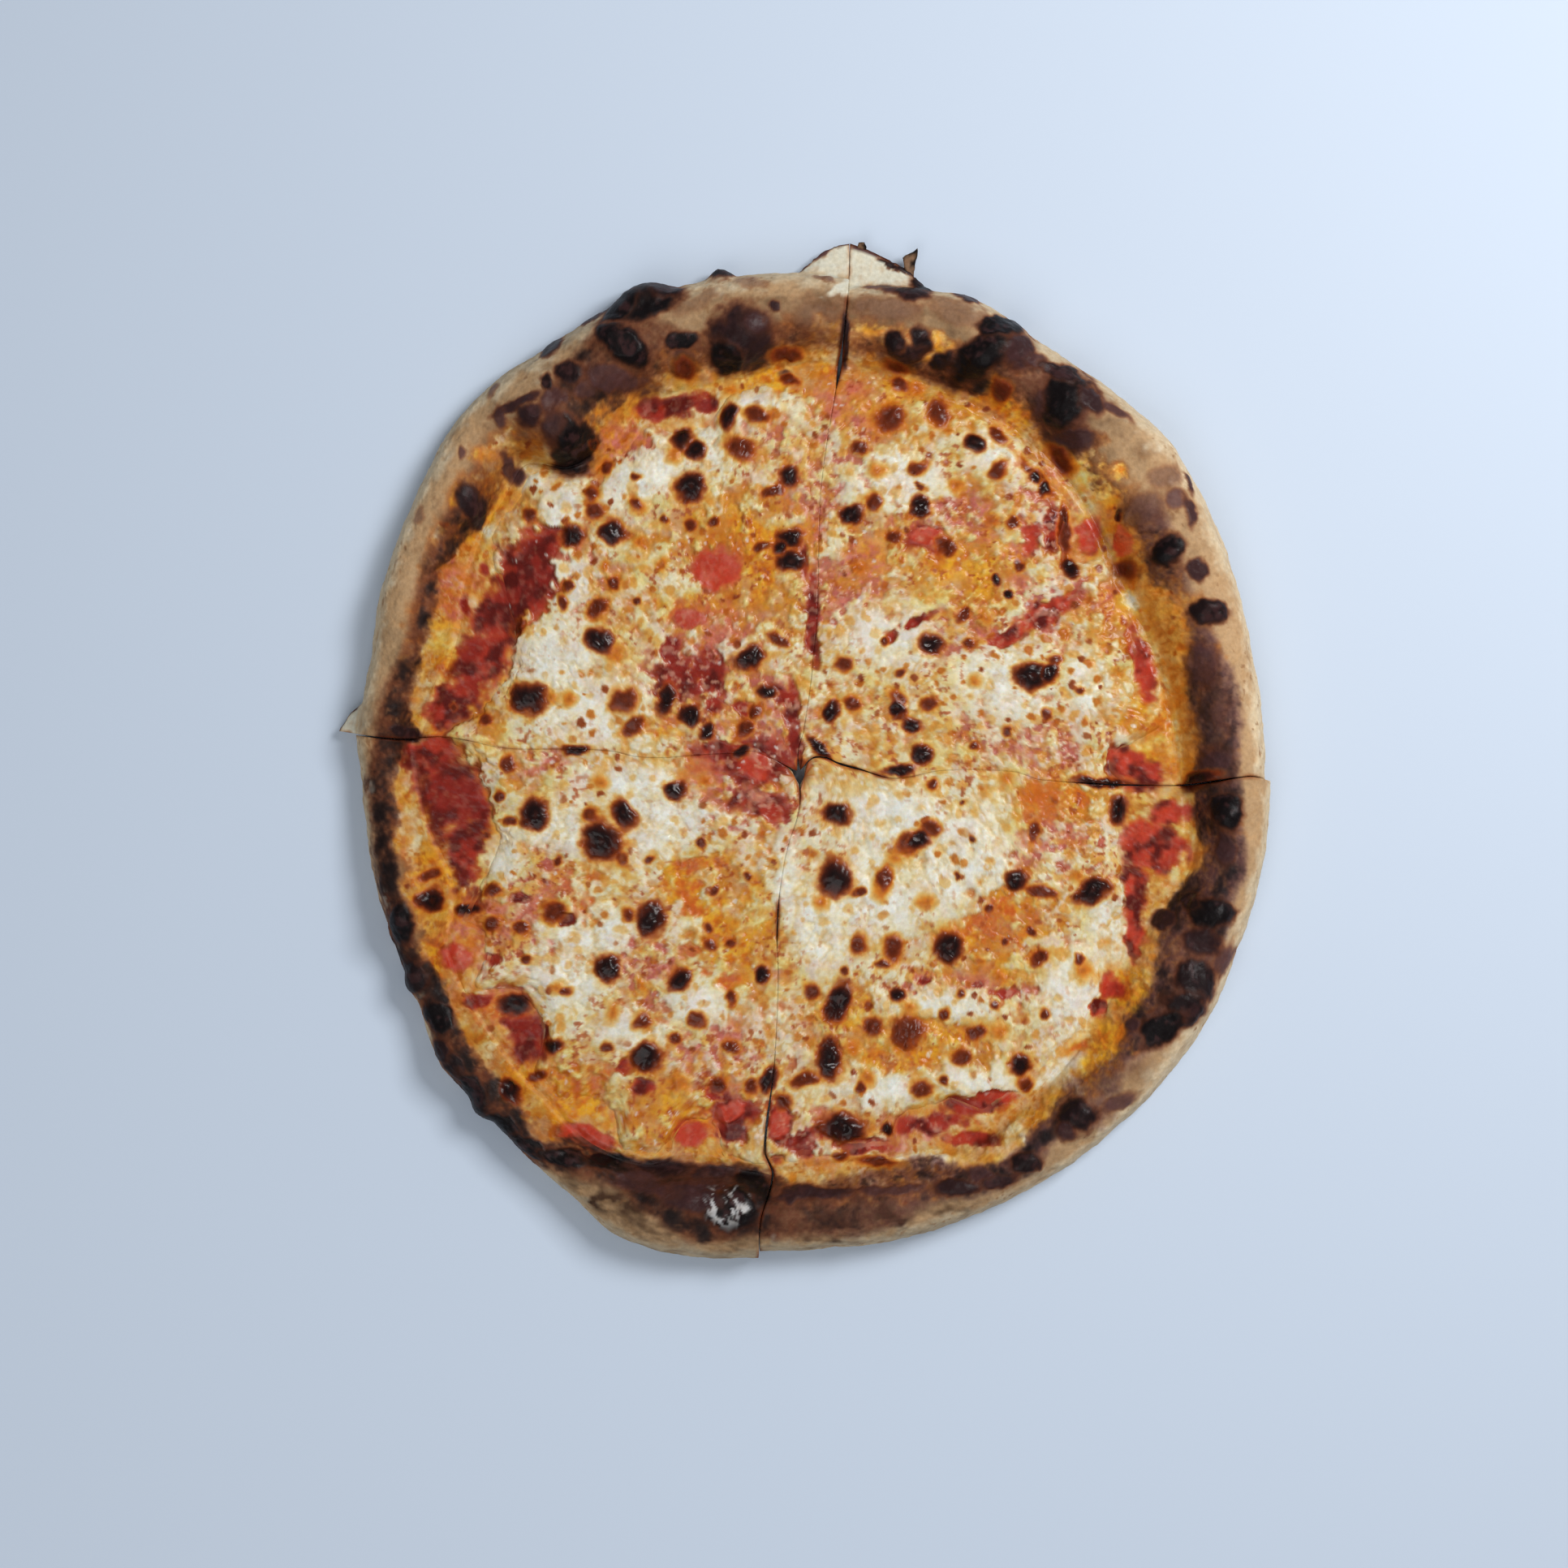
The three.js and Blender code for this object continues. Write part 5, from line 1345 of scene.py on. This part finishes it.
# Sizes in millimetres. shade, stained and polish are the least and most that the textures give
TOPPING_FINISH = {
    "sockets": {"Specular IOR Level": 0.2, "Subsurface Weight": 0.1, "Subsurface Scale": 0.001},
    "grain": 1.1, "shade": (0.93, 1.07), "stained": (-0.1, 0.4), "stain": (0.93, 0.84, 0.7),
    "polish": (0.7, 1.3), "relief": 1.3, "bump": 0.4, "depth": 0.6,
}
CRUST_FINISH = {
    "sockets": {"Specular IOR Level": 0.12},
    "grain": 1.1, "shade": (0.92, 1.08), "stained": (-0.1, 0.4), "stain": (0.9, 0.81, 0.68),
    "polish": (0.85, 1.15), "relief": 1.1, "bump": 0.5, "depth": 0.5,
}
FINISHES = {"crust": CRUST_FINISH, "sauce": TOPPING_FINISH, "cheese": TOPPING_FINISH}
MATERIALS = {name: material(name, finish) for name, finish in FINISHES.items()}

# ---- Pieces ----


def add_piece(name, layer, points, surface, cut_faces, colour, rough):
    """Makes the mesh, kept within the plain solids' box, with its colours and material"""
    low, high = np.array(CAD_BOX) / MM
    points = np.clip(points, low, high)
    faces = np.concatenate([surface, cut_faces])
    mesh = bpy.data.meshes.new(name)
    mesh.vertices.add(len(points))
    mesh.vertices.foreach_set("co", (points * MM).astype(np.float32).ravel())
    mesh.loops.add(faces.size)
    mesh.loops.foreach_set("vertex_index", faces.astype(np.int32).ravel())
    mesh.polygons.add(len(faces))
    mesh.polygons.foreach_set("loop_start", np.arange(0, faces.size, 3, dtype=np.int32))
    mesh.polygons.foreach_set("use_smooth", np.arange(len(faces)) < len(surface))
    mesh.update(calc_edges=True)
    tint = mesh.color_attributes.new("tint", "FLOAT_COLOR", "POINT")
    rgba = np.c_[np.clip(colour, 0, 1), np.ones(len(points))]
    tint.data.foreach_set("color", rgba.astype(np.float32).ravel())
    gloss = mesh.attributes.new("gloss", "FLOAT", "POINT")
    gloss.data.foreach_set("value", np.clip(rough, LEAST_ROUGHNESS, 1).astype(np.float32))
    mesh.materials.append(MATERIALS[layer])
    piece = bpy.data.objects.new(name, mesh)
    bpy.context.scene.collection.objects.link(piece)
    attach(piece, "root")
    return piece


def at_rows(angle, rows):
    """The radius of a row whose number is its radius"""
    return rows + 0 * angle


def crust(slice_):
    def lap(angle, rows):
        return mix(FIELD_END, sauce_radius(slice_, angle), rows)

    def rim(angle, rows):
        return mix(sauce_radius(slice_, angle), rim_radius(slice_, angle), rows)

    def wall(angle, rows):
        edge = edge_radius(slice_, angle)
        torn = torn_edge_radius(slice_, angle)
        return through_rows(rows, [rim_radius(slice_, angle), torn, edge - HEEL_INSET, edge - FOOT_INSET])

    def below(angle, rows):
        return mix(edge_radius(slice_, angle) - FOOT_INSET, FIELD_END, rows)

    def dough(angle, radius, rows):
        return dough_top(slice_, angle, radius)

    def rim_height(angle, radius, rows):
        return rim_top(slice_, angle, rows)

    def wall_height(angle, radius, rows):
        return through_rows(rows, [rim_top(slice_, angle, 1), FLAP_EDGE_HEIGHT, HEEL_HEIGHT, 0])

    def ground(angle, radius, rows):
        return 0 * angle

    middle_radii = np.arange(28, FIELD_END + 1, 4)
    body = Body(slice_, [
        Band(slice_, COLUMNS // 16, INNER_RADII, at_rows, dough, HIDDEN),
        Band(slice_, COLUMNS // 8, middle_radii, at_rows, dough, HIDDEN),
        Band(slice_, COLUMNS // 4, np.linspace(0.1, 0.8, 8), lap, dough, HIDDEN),
        Band(slice_, COLUMNS, np.linspace(0.86, 1, 10), lap, dough, LAP),
        Band(slice_, COLUMNS, np.linspace(0, 1, RIM_ROWS + 1)[1:], rim, rim_height, TOP),
        Band(slice_, COLUMNS, np.linspace(0, 3, WALL_ROWS + 1)[1:], wall, wall_height, WALL),
        Band(slice_, COLUMNS // 4, np.linspace(0, 1, 16)[1:], below, ground, UNDERSIDE),
        Band(slice_, COLUMNS // 8, middle_radii[::-1][1:], at_rows, ground, UNDERSIDE),
        Band(slice_, COLUMNS // 16, INNER_RADII[::-1], at_rows, ground, UNDERSIDE),
    ])
    paint = Paint(body)
    outside = np.where(body.zone >= WALL, 1.0, 0.0)
    across = np.where(body.zone == TOP, body.row, outside)
    paint_topping(paint)
    paint_slope_light(paint, across)
    paint.lift *= smooth(0.5, 0.1, across) * smooth(0, 0.12, across)
    paint_rim(paint, across, outside)
    paint_flap(paint)
    add_char(paint)
    add_blisters(paint, RIM_BLISTER_SCALE)
    brown_and_shade_cuts(paint)
    paint_underside(paint)
    fade = smooth(0, 0.06, across) * (body.zone < UNDERSIDE)
    fade *= np.where(body.zone == WALL, smooth(3, 1, body.row), 1)
    body.push(paint.lift * fade)
    body.round_cuts(CRUST_ROUNDING, body.zone < WALL)
    return body, paint


def sauce(slice_):
    def field(angle, rows):
        return mix(FIELD_END, cheese_radius(slice_, angle) - SAUCE_SHOWS_FROM, rows)

    def shore(angle, rows):
        return mix(cheese_radius(slice_, angle) - SAUCE_SHOWS_FROM, sauce_radius(slice_, angle), rows)

    def below(angle, rows):
        return mix(sauce_radius(slice_, angle), FIELD_END, rows)

    def top(angle, radius, rows):
        return sauce_top(slice_, angle, radius)

    def bottom(angle, radius, rows):
        gap = mix(EDGE_SINK, BELOW_GAP, shore_share(slice_, angle, radius))
        return dough_top(slice_, angle, radius) + gap

    middle_radii = np.arange(28, FIELD_END, 4)
    body = Body(slice_, [
        Band(slice_, COLUMNS // 16, INNER_RADII, at_rows, top, HIDDEN),
        Band(slice_, COLUMNS // 8, middle_radii, at_rows, top, HIDDEN),
        Band(slice_, COLUMNS // 4, np.linspace(0, 1, 6), field, top, HIDDEN),
        Band(slice_, COLUMNS, np.linspace(0, SHORE_END, 26)[1:], shore, top, TOP),
        Band(slice_, COLUMNS // 4, np.linspace(0, 1, 8), below, bottom, UNDERSIDE),
        Band(slice_, COLUMNS // 8, middle_radii[::-1], at_rows, bottom, UNDERSIDE),
        Band(slice_, COLUMNS // 16, INNER_RADII[::-1], at_rows, bottom, UNDERSIDE),
    ])
    paint = Paint(body)
    paint_topping(paint)
    add_char(paint)
    add_blisters(paint)
    brown_and_shade_cuts(paint)
    lift = 0.35 * noise(paint.flat, "pulp relief") + 0.3 * paint.lift
    body.push(np.where(body.zone == TOP, lift * smooth(SHORE_END, 0.85, body.row), 0))
    return body, paint


def cheese(slice_):
    def edge(angle):
        return ragged_cheese_radius(slice_, angle)

    def outer(angle, rows):
        return mix(FIELD_END, edge(angle), rows)

    def top(angle, radius, rows):
        return cheese_top(slice_, angle, radius, edge(angle))

    def bottom(angle, radius, rows):
        sink = mix(BELOW_GAP, CHEESE_SINK, smooth(10, 3, edge(angle) - radius))
        return np.minimum(sauce_top(slice_, angle, radius) + sink, top(angle, radius, rows) - BELOW_GAP)

    def rows_between(low, high):
        return np.linspace(low, high, 1 + round((high - low) / CHEESE_ROW))

    body = Body(slice_, [
        Band(slice_, COLUMNS // 8, rows_between(4, 16), at_rows, top, TOP),
        Band(slice_, COLUMNS // 4, rows_between(16, 34)[1:], at_rows, top, TOP),
        Band(slice_, COLUMNS // 2, rows_between(34, 62)[1:], at_rows, top, TOP),
        Band(slice_, COLUMNS, rows_between(62, FIELD_END)[1:], at_rows, top, TOP),
        Band(slice_, COLUMNS, np.linspace(0, 1, OUTER_ROWS + 1)[1:], outer, top, TOP),
        Band(slice_, COLUMNS // 2, [1.0, 0.8, 0.5, 0.2], outer, bottom, UNDERSIDE),
        Band(slice_, COLUMNS // 8, np.arange(76, 24, -8), at_rows, bottom, UNDERSIDE),
        Band(slice_, COLUMNS // 16, INNER_RADII[::-1], at_rows, bottom, UNDERSIDE),
    ])
    paint = Paint(body)
    to_edge = edge(body.angle) - body.radius
    tomato = paint_topping(paint, mix(0.75, 1, smooth(0, 4, to_edge)), 0.5 * smooth(3, 0, to_edge))
    paint.lift -= 1.2 * tomato * smooth(9, 1, to_edge)
    add_char(paint)
    add_blisters(paint)
    brown_and_shade_cuts(paint)
    above = body.zone == TOP
    paint.colour[~above] = CREAM
    swell = 0.7 * noise(paint.flat, "swell") + paint.lift + CHEESE_SETTLING
    body.push(np.where(above, np.maximum(swell, DEEPEST_HOLLOW) * smooth(-0.2, 2.2, to_edge), 0))
    body.round_cuts(CHEESE_ROUNDING, above)
    return body, paint


SHAPES = {"crust": crust, "sauce": sauce, "cheese": cheese}
for slice_name, slice_plan in SLICES.items():
    for layer, shape in SHAPES.items():
        body, paint = shape(slice_plan)
        made_piece = add_piece(
            f"baked_{layer}_{slice_name}", layer, body.points(), body.surface, body.cut_faces, paint.colour,
            paint.rough,
        )
        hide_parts(f"{layer}_{slice_name}")

# Burnt scraps on the flap's edge: corners in the photograph, from the foot's left anticlockwise, the heights
# of foot and tip, and the thickness
SCRAPS = {
    "flake": (((1117, 338), (1126, 341), (1131, 306), (1112, 318)), (2.6, 5.2), 0.7),
    "crumb": (((1056, 306), (1067, 308), (1065, 295), (1058, 295)), (3.2, 4.6), 1.6),
}
SCRAP_STEPS = 13
SCRAP_CRUMPLE = 0.5
SCRAP_ROUGHNESS = 0.6


def scrap(corners, heights, thickness):
    """A crumpled plate between four corners, burnt towards its tip"""
    across, up = np.meshgrid(np.linspace(0, 1, SCRAP_STEPS), np.linspace(0, 1, SCRAP_STEPS))
    foot_left, foot_right, tip_right, tip_left = (spot(*corner) for corner in corners)
    x, y = (
        mix(mix(foot_left[k], foot_right[k], across), mix(tip_left[k], tip_right[k], across), up)
        for k in (0, 1)
    )
    middle = np.stack([x, y, mix(*heights, up)], -1).reshape(-1, 3)
    middle = middle + SCRAP_CRUMPLE * np.stack([noise(middle, f"scrap shift {axis}") for axis in "xyz"], 1)
    towards_edge = np.maximum(np.abs(2 * across - 1), np.abs(2 * up - 1)).ravel()
    rise = (thickness / 2 * np.sqrt(1.05 - towards_edge**4))[:, None] * [0, 0, 1]
    points = np.concatenate([middle + rise, middle - rise])

    count = SCRAP_STEPS**2
    grid = np.arange(count).reshape(SCRAP_STEPS, SCRAP_STEPS)
    a, b, c, d = (part.ravel() for part in (grid[:-1, :-1], grid[:-1, 1:], grid[1:, 1:], grid[1:, :-1]))
    over = np.concatenate([np.stack([a, b, c], 1), np.stack([a, c, d], 1)])
    brink = np.concatenate([grid[0, :-1], grid[:-1, -1], grid[-1, :0:-1], grid[:0:-1, 0]])
    ahead = np.roll(brink, -1)
    walls = np.concatenate([
        np.stack([brink, brink + count, ahead + count], 1), np.stack([brink, ahead + count, ahead], 1),
    ])
    dark = smooth(0.4, 1, np.tile((0.6 * across + 0.5 * up).ravel(), 2) + 0.8 * noise(points, "scrap char"))
    colour = blended(mix(PURPLE_BROWN, DOUGH_TAN, 0.35), CHAR, dark)
    rough = np.full(2 * count, SCRAP_ROUGHNESS)
    return points, np.concatenate([over, over[:, ::-1] + count]), walls, colour, rough


for scrap_name, scrap_plan in SCRAPS.items():
    made_piece = add_piece(f"burnt_{scrap_name}", "crust", *scrap(*scrap_plan))

# ---- Floor, light and camera: sizes in metres, power in watts ----

FLOOR_COLOUR = linear((196, 208, 224))
FLOOR_SIZE = 4
FLOOR_DROP = 0.0002  # keeps it clear of the part's underside
LAMPS = {"key": ((0.55, 0.4, 0.8), 0.4, 9), "fill": ((-0.3, -0.6, 1.0), 0.8, 4)}  # place, size, power
SKY_COLOUR = (0.9, 0.95, 1, 1)
SKY_STRENGTH = 0.25
CAMERA_HEIGHT = 1.0
CAMERA_PIXEL = (966, 966)  # the middle of the photograph
FRAME_WIDTH = 1932 * PHOTO_SCALE * MM
RIM_LEVEL = 0.005  # where the rim is widest, and the frame has the photograph's scale
SENSOR_WIDTH = 36


def floor():
    bpy.ops.mesh.primitive_plane_add(size=FLOOR_SIZE, location=(0, 0, -FLOOR_DROP))
    plane = bpy.context.object
    plane.name = "floor"
    made = bpy.data.materials.new("floor")
    made.use_nodes = True
    shader = made.node_tree.nodes["Principled BSDF"]
    shader.inputs["Base Color"].default_value = (*FLOOR_COLOUR, 1)
    shader.inputs["Roughness"].default_value = 0.6
    plane.data.materials.append(made)


def area_light(name, place, size, power):
    lamp = bpy.data.lights.new(name, "AREA")
    lamp.size = size
    lamp.energy = power
    made = bpy.data.objects.new(name, lamp)
    made.location = place
    made.rotation_euler = (-Vector(place)).to_track_quat("-Z", "Y").to_euler()
    bpy.context.scene.collection.objects.link(made)


def camera():
    made = bpy.data.cameras.new("camera")
    made.sensor_width = SENSOR_WIDTH
    made.lens = SENSOR_WIDTH * (CAMERA_HEIGHT - RIM_LEVEL) / FRAME_WIDTH
    eye = bpy.data.objects.new("camera", made)
    x, y = spot(*CAMERA_PIXEL)
    eye.location = (x * MM, y * MM, CAMERA_HEIGHT)
    bpy.context.scene.collection.objects.link(eye)
    bpy.context.scene.camera = eye


def surroundings():
    world = bpy.data.worlds.new("studio")
    world.use_nodes = True
    sky = world.node_tree.nodes["Background"]
    sky.inputs["Color"].default_value = SKY_COLOUR
    sky.inputs["Strength"].default_value = SKY_STRENGTH
    bpy.context.scene.world = world
    bpy.context.scene.view_settings.view_transform = "Standard"


floor()
for lamp_name, lamp_plan in LAMPS.items():
    area_light(lamp_name, *lamp_plan)
camera()
surroundings()
